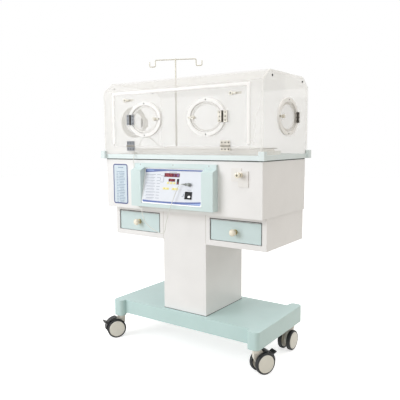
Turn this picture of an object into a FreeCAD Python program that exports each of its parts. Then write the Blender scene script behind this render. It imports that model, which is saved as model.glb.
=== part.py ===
import FreeCAD, Part
import math
import os
import re
import Sketcher
from FreeCAD import Placement, Rotation, Vector

# Infant incubator on a castored stand, in millimetres.
# X runs along the front to the right, Y to the back, Z up from the floor.

SIZES = [
    # Place of the stand's centre in the part's frame
    ("centre_x", 14.536),
    ("centre_y", -22.347),
    # Casters
    ("wheel_dia", 100),
    ("wheel_width", 21),
    ("wheel_gap", 25),
    ("tyre_depth", 8),
    ("tyre_bevel", 4.5),
    ("hub_proud", 1),
    ("hub_cap_wall", 3),
    ("hub_cap_bevel", 7),
    ("axle_radius", 4),
    ("axle_end_gap", 0.5),
    ("running_gap", 0.05),
    ("fork_over_wheel", 21),
    ("fork_width", 16),
    ("fork_disc_radius", 30),
    ("fork_head_radius", 17),
    ("head_over_wheel", 1),
    ("stem_radius", 6),
    ("stem_tall", 36),
    ("swivel_gap", 0.5),
    ("trail", 34),
    ("caster_x", 412),
    ("caster_front", 184),
    ("caster_back", 186),
    ("pedal_band_gap", 3),
    ("pedal_band_wall", 5),
    ("pedal_band_wide", 40),
    ("pedal_web_wall", 3),
    ("pedal_web_gap", 0.5),
    ("pedal_boss_radius", 9),
    ("pedal_arm_wide", 10),
    ("pedal_tab_long", 23),
    ("pedal_tab_wide", 34),
    ("pedal_tab_thick", 7),
    # Base
    ("base_half", 440),
    ("base_front", 220),
    ("base_back", 258),
    ("base_tall", 83),
    ("beam_wide", 62),
    ("beam_round", 22),
    ("deck_inset", 32),
    ("deck_back_inset", 47),
    ("deck_lift", 11),
    ("cover_wall", 4),
    ("tube_size", 40),
    ("tube_wall", 3),
    ("tube_inset", 20),
    # Column and drawer housings
    ("column_half", 128),
    ("column_front", 165),
    ("column_back", 174),
    ("column_tall", 504),
    ("column_wall", 2.5),
    ("housing_half", 450),
    ("housing_back", 220),
    ("housing_tall", 150),
    ("housing_wall", 3),
    ("housing_frame", 26),
    ("drawer_gap", 2),
    ("drawer_inset", 3),
    ("drawer_face", 8),
    ("drawer_wall", 3),
    ("drawer_deep", 350),
    ("drawer_side_drop", 14),
    ("runner_wide", 12),
    ("runner_gap", 0.3),
    ("runner_lift", 4),
    ("knob_radius", 17),
    ("knob_reach", 38),
    ("knob_stem_radius", 7),
    ("knob_base_tall", 6),
    # Cabinet
    ("cabinet_half", 457),
    ("cabinet_front", 220),
    ("cabinet_back", 220),
    ("cabinet_tall", 247),
    ("cabinet_wall", 3),
    ("cover_half", 310),
    ("cover_low", 22),
    ("cover_tall", 205),
    ("cover_lap", 12),
    ("louvre_long", 70),
    ("louvre_tall", 6),
    ("louvre_pitch", 16),
    ("inlet_inset", 95),
    ("inlet_lift", 60),
    ("inlet_wide", 50),
    ("inlet_tall", 30),
    ("inlet_deep", 26),
    ("inlet_flange", 8),
    # Console
    ("console_x", -10),
    ("console_half", 242),
    ("console_low", 22),
    ("console_tall", 210),
    ("console_deep", 41),
    ("console_bottom_strip", 17),
    ("flange_tall", 21),
    ("flange_deep", 12),
    ("flange_slant", 14),
    ("plate_half", 180),
    ("plate_thick", 3),
    ("plate_tilt", 11.8),
    ("plate_inset", 2),
    ("plate_gap", 0.5),
    ("ledge", 6),
    ("cabinet_window_margin", 20),
    ("window_x", -18),
    ("window_up", 142),
    ("window_wide", 90),
    ("window_tall", 18),
    ("small_window_x", -16),
    ("small_window_up", 118),
    ("small_window_wide", 38),
    ("small_window_tall", 13),
    ("bar_x", 21),
    ("bar_up", 112),
    ("bar_wide", 12),
    ("bar_tall", 26),
    ("key_wide", 12),
    ("key_tall", 9),
    ("key_row_up", 104),
    ("key_pitch", 19),
    ("key_row_x", -37),
    ("long_key_wide", 36),
    ("long_key_tall", 10),
    ("long_key_up", 77),
    ("long_key_x", 8),
    ("long_key_pitch", 54),
    ("relief", 1.2),
    ("rocker_x", 90),
    ("rocker_up", 50),
    ("rocker_wide", 34),
    ("rocker_tall", 28),
    ("rocker_frame", 3),
    ("rocker_frame_proud", 2),
    ("rocker_gap", 0.5),
    ("rocker_crown", 5),
    ("rocker_sleeve", 1.5),
    ("rocker_sleeve_deep", 14),
    ("rocker_deep", 12),
    ("rocker_pin_radius", 1.5),
    ("socket_x", 92),
    ("socket_up", 100),
    ("socket_radius", 9),
    ("socket_tall", 6),
    ("plug_reach", 12),
    ("plug_radius", 7),
    ("plug_long", 38),
    ("cable_radius", 1.6),
    # Humidity damper on the cabinet's front
    ("damper_x", 330),
    ("damper_wide", 50),
    ("damper_tall", 58),
    ("damper_step_x", 34),
    ("damper_step_z", 24),
    ("damper_drop", 57),
    ("damper_plate", 3),
    ("damper_knob_radius", 13),
    ("damper_knob_reach", 32),
    ("damper_shaft_radius", 4),
    # Tray
    ("tray_seat", 5),
    ("tray_floor", 10),
    ("tray_plug_inset", 1),
    ("tray_half", 462),
    ("tray_front", 230),
    ("tray_back", 237),
    ("rim_tall", 22),
    ("rim_wide", 22),
    ("post_proud", 14),
    ("post_leg", 28),
    ("post_tall", 39),
    ("air_slot_x", 405),
    ("air_slot_wide", 24),
    ("air_slot_long", 300),
    # Bed
    ("bed_half_long", 350),
    ("bed_half_deep", 190),
    ("bed_wall", 4),
    ("bed_rim", 16),
    ("bed_foot", 10),
    ("bed_foot_size", 30),
    ("mattress_thick", 34),
    ("mattress_gap", 0.3),
    ("mattress_side_gap", 6),
    ("mattress_round", 30),
    # Hood
    ("hood_inset", 1),
    ("hood_wall", 6),
    ("hood_side", 316),
    ("hood_rise", 46),
    ("hood_run", 63),
    ("door_half", 394),
    ("door_gap", 2),
    ("door_low", 42),
    ("door_tall", 262),
    ("door_floor_gap", 1),
    ("notch_x", -252),
    ("notch_wide", 16),
    ("notch_tall", 11),
    # Hinges
    ("hinge_x", 278),
    ("hinge_half", 25),
    ("leaf_long", 24),
    ("leaf_thick", 2),
    ("leaf_start", 4),
    ("barrel_radius", 3.4),
    ("barrel_lift", 3.8),
    ("knuckle_half", 8.3),
    ("knuckle_gap", 0.3),
    ("pin_radius", 1.6),
    # Hand ports
    ("port_x", 180),
    ("port_up", 169),
    ("port_long", 74),
    ("port_high", 56),
    ("gasket_wide", 8),
    ("gasket_thick", 3),
    ("disc_wide", 10),
    ("disc_gap", 0.3),
    ("collar_gap", 2),
    ("collar_wide", 16),
    ("collar_deep", 9),
    ("port_hinge_out", 89),
    ("port_leaf_long", 22),
    ("port_latch_out", 67),
    ("latch_shaft_radius", 3),
    ("port_knob_radius", 8),
    ("port_knob_reach", 10),
    ("tongue_long", 25),
    ("tongue_wide", 8),
    ("tongue_thick", 3),
    # Front door latches
    ("door_latch_x", 308),
    ("door_latch_drop", 38),
    ("lever_long", 24),
    ("lever_wide", 9),
    ("lever_thick", 5),
    ("latch_head_radius", 9),
    ("cam_long", 46),
    ("cam_thick", 3),
    # Drip pole
    ("pole_x", -364),
    ("pole_y", 256),
    ("tube_radius", 6),
    ("rod_radius", 4),
    ("pole_tube_low", 92),
    ("pole_tube_top", 654),
    ("pole_collar_radius", 9),
    ("pole_collar_tall", 16),
    ("rod_low", 252),
    ("rod_top", 812),
    ("rod_cap", 2),
    ("bracket_half", 14),
    ("bracket_tall", 25),
    ("bracket_rise", 90),
    ("bar_half", 121),
    ("bar_radius", 3.2),
    ("bar_turn", 24),
    ("hook_drop", 38),
    ("hook_wide", 34),
    ("hook_lip", 28),
    ("hook_bend", 8),
    # Air system in the cabinet
    ("fan_x", 90),
    ("fan_y", 50),
    ("motor_radius", 36),
    ("motor_tall", 62),
    ("motor_foot", 55),
    ("motor_foot_thick", 5),
    ("shaft_radius", 4),
    ("shaft_long", 46),
    ("impeller_radius", 80),
    ("impeller_gap", 5),
    ("impeller_plate", 3),
    ("blade_tall", 32),
    ("blade_thick", 2),
    ("impeller_hub_radius", 12),
    ("heater_radius", 120),
    ("heater_rod_radius", 5),
    ("heater_lift", 105),
    ("heater_leg_radius", 4),
    ("tank_end_gap", 44),
    ("tank_half_long", 130),
    ("tank_half_deep", 90),
    ("tank_tall", 70),
    ("tank_wall", 3),
    ("board_half_long", 120),
    ("board_half_tall", 50),
    ("board_lift", 110),
    ("board_thick", 2),
    ("board_stand", 10),
    ("board_post_radius", 4),
    ("chip_half", 14),
    ("chip_tall", 6),
    # Skin sensor on the mattress
    ("probe_radius", 6),
    ("probe_thick", 4),
]

# Turn of each caster about its stem, and whether it has a brake pedal
CASTERS = {
    "fr": (1, -1, 62, True),
    "fl": (-1, -1, 236, True),
    "rr": (1, 1, 268, False),
    "rl": (-1, 1, 200, False),
}

# Sensor cable from the plug to the probe, before the shift of the frame
CABLE = [
    (53.7, -250.7, 847.4), (43, -251.6, 846), (34, -254.5, 835), (26, -260, 812),
    (18, -266.5, 785), (8, -274, 750), (-1, -281, 713), (-10, -285, 683),
    (-16, -286.5, 658), (-17, -287, 637), (-23, -288, 621), (-36, -288.5, 613.5),
    (-52, -288.5, 613.5), (-70, -288.5, 619), (-92, -289, 628), (-115, -289, 639),
    (-136, -289, 654), (-150, -289, 676), (-160, -286, 698), (-170, -279, 712),
    (-184, -268, 718.5), (-203, -252, 721), (-222, -238, 722.5), (-240, -229, 724),
    (-256, -224.5, 729), (-266, -222.8, 742), (-268, -222.8, 765), (-267, -222.8, 800),
    (-265, -222.8, 850), (-263, -223, 885), (-261, -225, 906), (-257, -231, 926),
    (-253, -238, 945), (-249, -242.5, 960), (-247, -242, 975), (-249, -231.5, 988),
    (-252, -219, 989), (-252, -207, 994), (-251, -200, 1006), (-249, -197, 1024),
    (-242, -196, 1045), (-228, -196, 1062), (-206, -193, 1069), (-186, -185, 1062),
    (-171, -173, 1045), (-160, -163, 1029), (-150, -154, 1020), (-139, -146, 1016.6),
    (-127, -138, 1015.8), (-117, -131, 1015.7),
]

NAMES = {name for name, number in SIZES}

doc = FreeCAD.newDocument("InfantIncubator")
sheet = doc.addObject("Spreadsheet::Sheet", "size")
for row, (name, number) in enumerate(SIZES, start=1):
    sheet.set(f"A{row}", name)
    sheet.set(f"B{row}", str(number))
    sheet.setAlias(f"B{row}", name)
doc.recompute()

nodes = []


def ref(text):
    """Expression text with each size name pointing at its cell."""
    return re.sub(r"[a-z_]+", lambda m: "size." + m[0] if m[0] in NAMES else m[0], str(text))


def number(name):
    """Value of one size."""
    return float(sheet.get(name))


def bind(thing, prop, text):
    thing.setExpression(prop, ref(text))


def at(thing, x, y, z):
    """Tie the place of a piece to expressions."""
    bind(thing, "Placement.Base.x", x)
    bind(thing, "Placement.Base.y", y)
    bind(thing, "Placement.Base.z", z)
    return thing


def box(name, xs, ys, zs):
    """Block between pairs of coordinates."""
    block = doc.addObject("Part::Box", name)
    for prop, pair in zip(("Length", "Width", "Height"), (xs, ys, zs)):
        bind(block, prop, f"({pair[1]}) - ({pair[0]})")
    return at(block, xs[0], ys[0], zs[0])


def cylinder(name, radius, low, high, x=0, y=0, axis="z"):
    """Cylinder from low to high along an axis; x and y place it in the plane across."""
    rod = doc.addObject("Part::Cylinder", name)
    bind(rod, "Radius", radius)
    bind(rod, "Height", f"({high}) - ({low})")
    if axis == "z":
        return at(rod, x, y, low)
    if axis == "y":
        rod.Placement = Placement(Vector(), Rotation(Vector(1, 0, 0), -90))
        return at(rod, x, low, y)
    rod.Placement = Placement(Vector(), Rotation(Vector(0, 1, 0), 90))
    return at(rod, low, x, y)


def oval(name, half_long, half_high, low, high, x=0, y=0):
    """Elliptical disc between two heights."""
    outline = doc.addObject("Part::Ellipse", name + "_outline")
    bind(outline, "MajorRadius", half_long)
    bind(outline, "MinorRadius", half_high)
    disc = doc.addObject("Part::Extrusion", name)
    disc.Base = outline
    disc.DirMode = "Custom"
    disc.Dir = Vector(0, 0, 1)
    disc.Solid = True
    bind(disc, "LengthFwd", f"({high}) - ({low})")
    return at(disc, x, y, low)


def prism(name, plane, points, low, high):
    """Body made of one padded polygon; plane is XY, XZ or YZ."""
    body = doc.addObject("PartDesign::Body", name)
    sketch = body.newObject("Sketcher::SketchObject", name + "_sketch")
    role = plane + "_Plane"
    sketch.AttachmentSupport = ([f for f in body.Origin.OriginFeatures if f.Role == role][0], [""])
    sketch.MapMode = "FlatFace"
    draw_polygon(sketch, points)
    bind(sketch, "AttachmentOffset.Base.z", f"-({high})" if plane == "XZ" else low)
    pad = body.newObject("PartDesign::Pad", name + "_pad")
    pad.Profile = sketch
    bind(pad, "Length", f"({high}) - ({low})")
    body.Tip = pad
    return body


def draw_polygon(sketch, points):
    """Closed polygon whose corners are tied to expressions."""
    count = len(points)
    ring = [Vector(100 * math.cos(2 * math.pi * i / count), 100 * math.sin(2 * math.pi * i / count), 0)
            for i in range(count)]
    for i in range(count):
        sketch.addGeometry(Part.LineSegment(ring[i], ring[(i + 1) % count]))
    for i in range(count):
        sketch.addConstraint(Sketcher.Constraint("Coincident", i, 2, (i + 1) % count, 1))
    for i, (across, up) in enumerate(points):
        for kind, text, start in (("DistanceX", across, ring[i].x), ("DistanceY", up, ring[i].y)):
            index = sketch.addConstraint(Sketcher.Constraint(kind, -1, 1, i, 1, start))
            bind(sketch, f"Constraints[{index}]", text)


def turned(name, points):
    """Body turned about the Y axis from a polygon of Y and radius."""
    body = doc.addObject("PartDesign::Body", name)
    sketch = body.newObject("Sketcher::SketchObject", name + "_sketch")
    sketch.AttachmentSupport = ([f for f in body.Origin.OriginFeatures if f.Role == "YZ_Plane"][0], [""])
    sketch.MapMode = "FlatFace"
    draw_polygon(sketch, points)
    turn = body.newObject("PartDesign::Revolution", name + "_turn")
    turn.Profile = sketch
    turn.ReferenceAxis = (sketch, ["H_Axis"])
    turn.Angle = 360
    body.Tip = turn
    return body


def rectangle(xs, ys):
    """Corner points of a rectangle."""
    return [(xs[0], ys[0]), (xs[1], ys[0]), (xs[1], ys[1]), (xs[0], ys[1])]


def rounded(name, xs, ys, zs, radius):
    """Block with its four upright edges rounded."""
    body = prism(name, "XY", rectangle(xs, ys), zs[0], zs[1])
    doc.recompute()
    pad = body.Tip
    upright = []
    for index, edge in enumerate(pad.Shape.Edges, start=1):
        way = edge.tangentAt(edge.FirstParameter)
        if abs(way.z) > 0.99:
            upright.append(f"Edge{index}")
    fillet = body.newObject("PartDesign::Fillet", name + "_fillet")
    fillet.Base = (pad, upright)
    bind(fillet, "Radius", radius)
    body.Tip = fillet
    return body


def fuse(name, things):
    joined = doc.addObject("Part::MultiFuse", name)
    joined.Shapes = things
    return joined


def cut(name, base, tools):
    """Base less the tools."""
    rest = doc.addObject("Part::Cut", name)
    rest.Base = base
    rest.Tool = tools[0] if len(tools) == 1 else fuse(name + "_tools", tools)
    return rest


def group(name, things):
    """Separate solids kept together."""
    kept = doc.addObject("Part::Compound", name)
    kept.Links = things
    return kept


def node(thing, label, x="0", y="0", z="0", turn=None):
    """Name a finished sub-part and place it in the part's frame."""
    if turn is not None:
        thing.Placement = Placement(Vector(), turn)
    at(thing, f"centre_x + ({x})", f"centre_y + ({y})", z)
    thing.Label = label
    nodes.append(thing)
    return thing


def side(sign, low, high):
    """Range of X at the right, or mirrored to the left."""
    return (low, high) if sign > 0 else (f"-({high})", f"-({low})")


# Levels and faces shared by the pieces
BASE_UNDER = "(wheel_dia + fork_over_wheel)"
DECK_TOP = f"({BASE_UNDER} + base_tall)"
CABINET_UNDER = f"({DECK_TOP} + column_tall)"
TRAY_UNDER = f"({CABINET_UNDER} + cabinet_tall)"
TRAY_TOP = f"({TRAY_UNDER} + tray_seat + rim_tall)"
HOOD_BEND = f"({TRAY_TOP} + hood_side)"
HOOD_ROOF = f"({HOOD_BEND} + hood_rise)"
TRAY_FLOOR_TOP = f"({TRAY_UNDER} + tray_floor)"
CABINET_FLOOR_TOP = f"({CABINET_UNDER} + cabinet_wall)"
HOOD_HALF = "(tray_half - hood_inset)"
HOOD_FRONT = "(tray_front - hood_inset)"
HOOD_BACK = "(tray_back - hood_inset)"
HOOD_MID = f"(({HOOD_BACK} - {HOOD_FRONT}) / 2)"
PORT_LEVEL = f"({TRAY_TOP} + port_up)"
DOOR_UNDER = f"({TRAY_TOP} + door_low)"
DOOR_TOP = f"({DOOR_UNDER} + door_tall)"
AXLE_UP = "(wheel_dia / 2)"
AXLE_BORE = "(axle_radius + running_gap)"

FACING_FRONT = Rotation(Vector(1, 0, 0), 90)
FACING_RIGHT = Rotation(Vector(0, 0, 1), 90).multiply(FACING_FRONT)
FACING_LEFT = Rotation(Vector(0, 0, 1), -90).multiply(FACING_FRONT)


def caster_fork(key):
    """Fork with its swivel head, threaded stem and axle, built about the stem's axis."""
    tag = "fork_" + key
    head = cylinder(tag + "_head", "fork_head_radius", "wheel_dia + head_over_wheel",
                    f"{BASE_UNDER} - swivel_gap")
    stem = cylinder(tag + "_stem", "stem_radius", "wheel_dia + head_over_wheel",
                    f"{BASE_UNDER} + stem_tall")
    disc = cylinder(tag + "_disc", "fork_disc_radius", "-fork_width / 2", "fork_width / 2",
                    x="trail", y=AXLE_UP, axis="y")
    top = f"{BASE_UNDER} - swivel_gap - 1"
    neck = prism(tag + "_neck", "XZ", [
        ("1 - fork_head_radius", top),
        ("fork_head_radius - 1", top),
        ("trail + 0.8 * fork_disc_radius", f"{AXLE_UP} + 0.6 * fork_disc_radius"),
        ("trail - 0.8 * fork_disc_radius", f"{AXLE_UP} - 0.6 * fork_disc_radius"),
        ("1 - fork_head_radius", f"{AXLE_UP} + fork_disc_radius"),
    ], "-fork_width / 2", "fork_width / 2")
    reach = "(wheel_gap / 2 + wheel_width + hub_proud - hub_cap_wall - axle_end_gap)"
    axle = cylinder(tag + "_axle", "axle_radius", f"-{reach}", reach, x="trail", y=AXLE_UP, axis="y")
    return fuse(tag, [head, stem, disc, neck, axle])


def caster_wheels(key):
    """Two tyres and their capped hubs on one axle, built about the axle's middle."""
    solids = []
    for sign, word in ((1, "left"), (-1, "right")):
        near = "(wheel_gap / 2)"
        far = "(wheel_gap / 2 + wheel_width)"
        rim = "(wheel_dia / 2 - tyre_depth)"
        tyre_line = [
            (near, rim), (near, "wheel_dia / 2 - tyre_bevel"), (f"{near} + tyre_bevel", "wheel_dia / 2"),
            (f"{far} - tyre_bevel", "wheel_dia / 2"), (far, "wheel_dia / 2 - tyre_bevel"), (far, rim),
        ]
        cap = f"({far} + hub_proud)"
        hub_line = [
            (f"{near} + hub_proud", AXLE_BORE), (f"{near} + hub_proud", rim), (far, rim),
            (cap, f"{rim} - hub_cap_bevel"), (cap, "0"), (f"{cap} - hub_cap_wall", "0"),
            (f"{cap} - hub_cap_wall", AXLE_BORE),
        ]
        for kind, line in (("tyre", tyre_line), ("hub", hub_line)):
            points = [(f"{sign} * ({across})", up) for across, up in line]
            solids.append(turned(f"{kind}_{key}_{word}", points))
    return group("wheels_" + key, solids)


def brake_pedal(key):
    """Rocking brake cover with its foot tab, built about the axle's middle."""
    tag = "pedal_" + key
    inner = "(wheel_dia / 2 + pedal_band_gap)"
    outer = f"({inner} + pedal_band_wall)"
    half = "(pedal_band_wide / 2)"
    band = doc.addObject("Part::Cylinder", tag + "_band")
    bind(band, "Radius", outer)
    bind(band, "Height", "pedal_band_wide")
    band.Angle = 92
    band.Placement = Placement(Vector(), Rotation(Vector(1, 0, 0), 90))
    at(band, "0", half, "0")
    room = cylinder(tag + "_room", inner, f"-{half} - 1", f"{half} + 1", axis="y")
    arc = cut(tag + "_arc", band, [room])
    pieces = [arc]
    web_in = "(fork_width / 2 + pedal_web_gap)"
    web_out = f"({web_in} + pedal_web_wall)"
    for sign, word in ((1, "left"), (-1, "right")):
        low, high = side(sign, web_in, web_out)
        boss = cylinder(f"{tag}_boss_{word}", "pedal_boss_radius", low, high, axis="y")
        arm = doc.addObject("Part::Box", f"{tag}_arm_{word}")
        bind(arm, "Length", f"{inner} + pedal_band_wall / 2")
        bind(arm, "Width", "pedal_web_wall")
        bind(arm, "Height", "pedal_arm_wide")
        arm.Placement = Placement(Vector(), Rotation(Vector(0, 1, 0), -42))
        at(arm, "0", low, "0")
        pieces += [boss, arm]
    tab = doc.addObject("Part::Box", tag + "_tab")
    bind(tab, "Length", f"{inner} + 2 + pedal_tab_long")
    bind(tab, "Width", "pedal_tab_wide")
    bind(tab, "Height", "pedal_tab_thick")
    tab.Placement = Placement(Vector(), Rotation(Vector(0, 1, 0), -30))
    at(tab, "0", "-pedal_tab_wide / 2", "0")
    clear = cylinder(tag + "_clear", f"{inner} + 2", f"-{half}", half, axis="y")
    foot = cut(tag + "_foot", tab, [clear])
    bore = cylinder(tag + "_bore", AXLE_BORE, f"-{half}", half, axis="y")
    return cut(tag, fuse(tag + "_body", pieces + [foot]), [bore])


def casters():
    for key, (right, back, angle, braked) in CASTERS.items():
        stem_x = f"{right} * caster_x"
        stem_y = "caster_back" if back > 0 else "-caster_front"
        turn = Rotation(Vector(0, 0, 1), angle)
        axle_x = f"{stem_x} + trail * cos({angle} * 1 deg)"
        axle_y = f"{stem_y} + trail * sin({angle} * 1 deg)"
        node(caster_fork(key), "caster_fork_" + key, stem_x, stem_y, "0", turn)
        node(caster_wheels(key), "caster_wheels_" + key, axle_x, axle_y, AXLE_UP, turn)
        if braked:
            node(brake_pedal(key), "brake_pedal_" + key, axle_x, axle_y, AXLE_UP, turn)


def base():
    """Moulded cover over a welded tube frame that holds the caster stems."""
    beams = []
    hollows = []
    deck_front = "-(base_front - deck_inset)"
    deck_back = "base_back - deck_back_inset"
    for sign, word in ((1, "right"), (-1, "left")):
        xs = side(sign, "base_half - beam_wide", "base_half")
        beams.append(rounded("beam_" + word, xs, ("-base_front", "base_back"),
                             (BASE_UNDER, DECK_TOP), "beam_round"))
        xs = side(sign, "base_half - beam_wide + cover_wall", "base_half - cover_wall")
        hollows.append(rounded("hollow_" + word, xs,
                               ("cover_wall - base_front", "base_back - cover_wall"),
                               (f"{BASE_UNDER} - 1", f"{DECK_TOP} - cover_wall"),
                               "beam_round - cover_wall"))
    reach = "(base_half - beam_wide / 2)"
    deck = box("deck", (f"-{reach}", reach), (deck_front, deck_back),
               (f"{BASE_UNDER} + deck_lift", DECK_TOP))
    room = box("deck_room", (f"-{reach}", reach),
               (f"{deck_front} + cover_wall", f"{deck_back} - cover_wall"),
               (f"{BASE_UNDER} - 1", f"{DECK_TOP} - cover_wall"))
    node(cut("cover", fuse("cover_outside", beams + [deck]), hollows + [room]), "base_cover")

    bars = []
    holes = []
    low = BASE_UNDER
    mid = f"({BASE_UNDER} + tube_size)"
    for sign, word in ((1, "right"), (-1, "left")):
        xs = side(sign, "caster_x - tube_size / 2", "caster_x + tube_size / 2")
        bars.append(box("side_tube_" + word, xs, ("tube_inset - base_front", "base_back - tube_inset"),
                        (low, mid)))
        inner = side(sign, "caster_x - tube_size / 2 + tube_wall", "caster_x + tube_size / 2 - tube_wall")
        holes.append(box("side_bore_" + word, inner, ("-base_front", "base_back"),
                         (f"{low} + tube_wall", f"{mid} - tube_wall")))
    for y, word in (("-caster_front + tube_size", "front"), ("caster_back - tube_size", "back")):
        ys = (f"{y} - tube_size / 2", f"{y} + tube_size / 2")
        bars.append(box("cross_tube_" + word, ("-caster_x", "caster_x"), ys,
                        (mid, f"{DECK_TOP} - cover_wall")))
        ys = (f"{y} - tube_size / 2 + tube_wall", f"{y} + tube_size / 2 - tube_wall")
        holes.append(box("cross_bore_" + word, ("-caster_x - 1", "caster_x + 1"), ys,
                         (f"{mid} + tube_wall", f"{DECK_TOP} - cover_wall - tube_wall")))
    for key, (right, back, angle, braked) in CASTERS.items():
        y = "caster_back" if back > 0 else "-caster_front"
        holes.append(cylinder("stem_bore_" + key, "stem_radius + running_gap", f"{low} - 1",
                              f"{mid} + 1", x=f"{right} * caster_x", y=y))
    node(cut("frame_tubes", fuse("frame_bars", bars), holes), "base_frame")


def column():
    """Sheet-steel column between the base and the cabinet."""
    outside = box("column_out", ("-column_half", "column_half"), ("-column_front", "column_back"),
                  (DECK_TOP, CABINET_UNDER))
    inside = box("column_in", ("column_wall - column_half", "column_half - column_wall"),
                 ("column_wall - column_front", "column_back - column_wall"),
                 (f"{DECK_TOP} - 1", f"{CABINET_UNDER} + 1"))
    node(cut("column_sheet", outside, [inside]), "column")


def drawers():
    """Drawer housings beside the column, each with a drawer on two rails."""
    low = f"({CABINET_UNDER} - housing_tall)"
    opening_low = f"({low} + housing_frame)"
    opening_high = f"({CABINET_UNDER} - housing_frame)"
    open_in = "(column_half + housing_frame)"
    open_out = "(housing_half - housing_frame)"
    for sign, word in ((1, "right"), (-1, "left")):
        # A folded wrap closed by a welded front frame and back plate
        front_back = "(housing_wall - column_front)"
        back_front = "(housing_back - housing_wall)"
        whole = side(sign, "column_half", "housing_half")
        outside = box("wrap_out_" + word, whole, (front_back, back_front), (low, CABINET_UNDER))
        inside = box("wrap_in_" + word,
                     side(sign, "column_half + housing_wall", "housing_half - housing_wall"),
                     (f"{front_back} - 1", f"{back_front} + 1"),
                     (f"{low} + housing_wall", f"{CABINET_UNDER} - housing_wall"))
        wrap = cut("housing_wrap_" + word, outside, [inside])
        plate = box("front_out_" + word, whole, ("-column_front", front_back), (low, CABINET_UNDER))
        mouth = box("housing_mouth_" + word, side(sign, open_in, open_out),
                    ("-column_front - 1", f"{front_back} + 1"), (opening_low, opening_high))
        front_frame = cut("housing_front_" + word, plate, [mouth])
        back_plate = box("housing_rear_" + word, whole, (back_front, "housing_back"),
                         (low, CABINET_UNDER))
        rails = []
        rail_top = f"({opening_low} + runner_lift - runner_gap)"
        for index, x in enumerate((f"{open_in} + 8", f"{open_out} - 8 - runner_wide")):
            rails.append(box(f"rail_{word}_{index}", side(sign, x, f"{x} + runner_wide"),
                             ("drawer_inset + drawer_face + drawer_gap - column_front",
                              back_front),
                             (f"{low} + housing_wall", rail_top)))
        node(group("housing_" + word, [wrap, front_frame, back_plate] + rails),
             "drawer_housing_" + word)

        face_back = "(-column_front + drawer_inset + drawer_face)"
        face = box("drawer_face_" + word,
                   side(sign, f"{open_in} + drawer_gap", f"{open_out} - drawer_gap"),
                   ("-column_front + drawer_inset", face_back),
                   (f"{opening_low} + drawer_gap", f"{opening_high} - drawer_gap"))
        tub_low = f"({opening_low} + runner_lift)"
        tub_high = f"({opening_high} - drawer_side_drop)"
        tub_out = box("tub_out_" + word, side(sign, f"{open_in} + 5", f"{open_out} - 5"),
                      (face_back, f"{face_back} + drawer_deep"), (tub_low, tub_high))
        tub_in = box("tub_in_" + word,
                     side(sign, f"{open_in} + 5 + drawer_wall", f"{open_out} - 5 - drawer_wall"),
                     (f"{face_back} + drawer_wall", f"{face_back} + drawer_deep - drawer_wall"),
                     (f"{tub_low} + drawer_wall", f"{tub_high} + 1"))
        tub = cut("tub_" + word, tub_out, [tub_in])
        middle_x = f"{sign} * (column_half + housing_half) / 2"
        middle_z = f"(({low} + {CABINET_UNDER}) / 2)"
        front = "(-column_front + drawer_inset)"
        stem = cylinder("knob_stem_" + word, "knob_stem_radius", f"{front} - knob_reach / 2", front,
                        x=middle_x, y=middle_z, axis="y")
        ball = doc.addObject("Part::Ellipsoid", "knob_ball_" + word)
        bind(ball, "Radius1", "knob_reach / 3")
        bind(ball, "Radius2", "knob_radius")
        bind(ball, "Radius3", "knob_radius")
        ball.Placement = Placement(Vector(), Rotation(Vector(1, 0, 0), 90))
        at(ball, middle_x, f"{front} - knob_reach * 2 / 3", middle_z)
        foot = cylinder("knob_base_" + word, "knob_radius * 0.75", f"{front} - knob_base_tall", front,
                        x=middle_x, y=middle_z, axis="y")
        knob = fuse("knob_" + word, [stem, ball, foot])
        node(group("drawer_" + word, [face, tub, knob]), "drawer_" + word)


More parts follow.
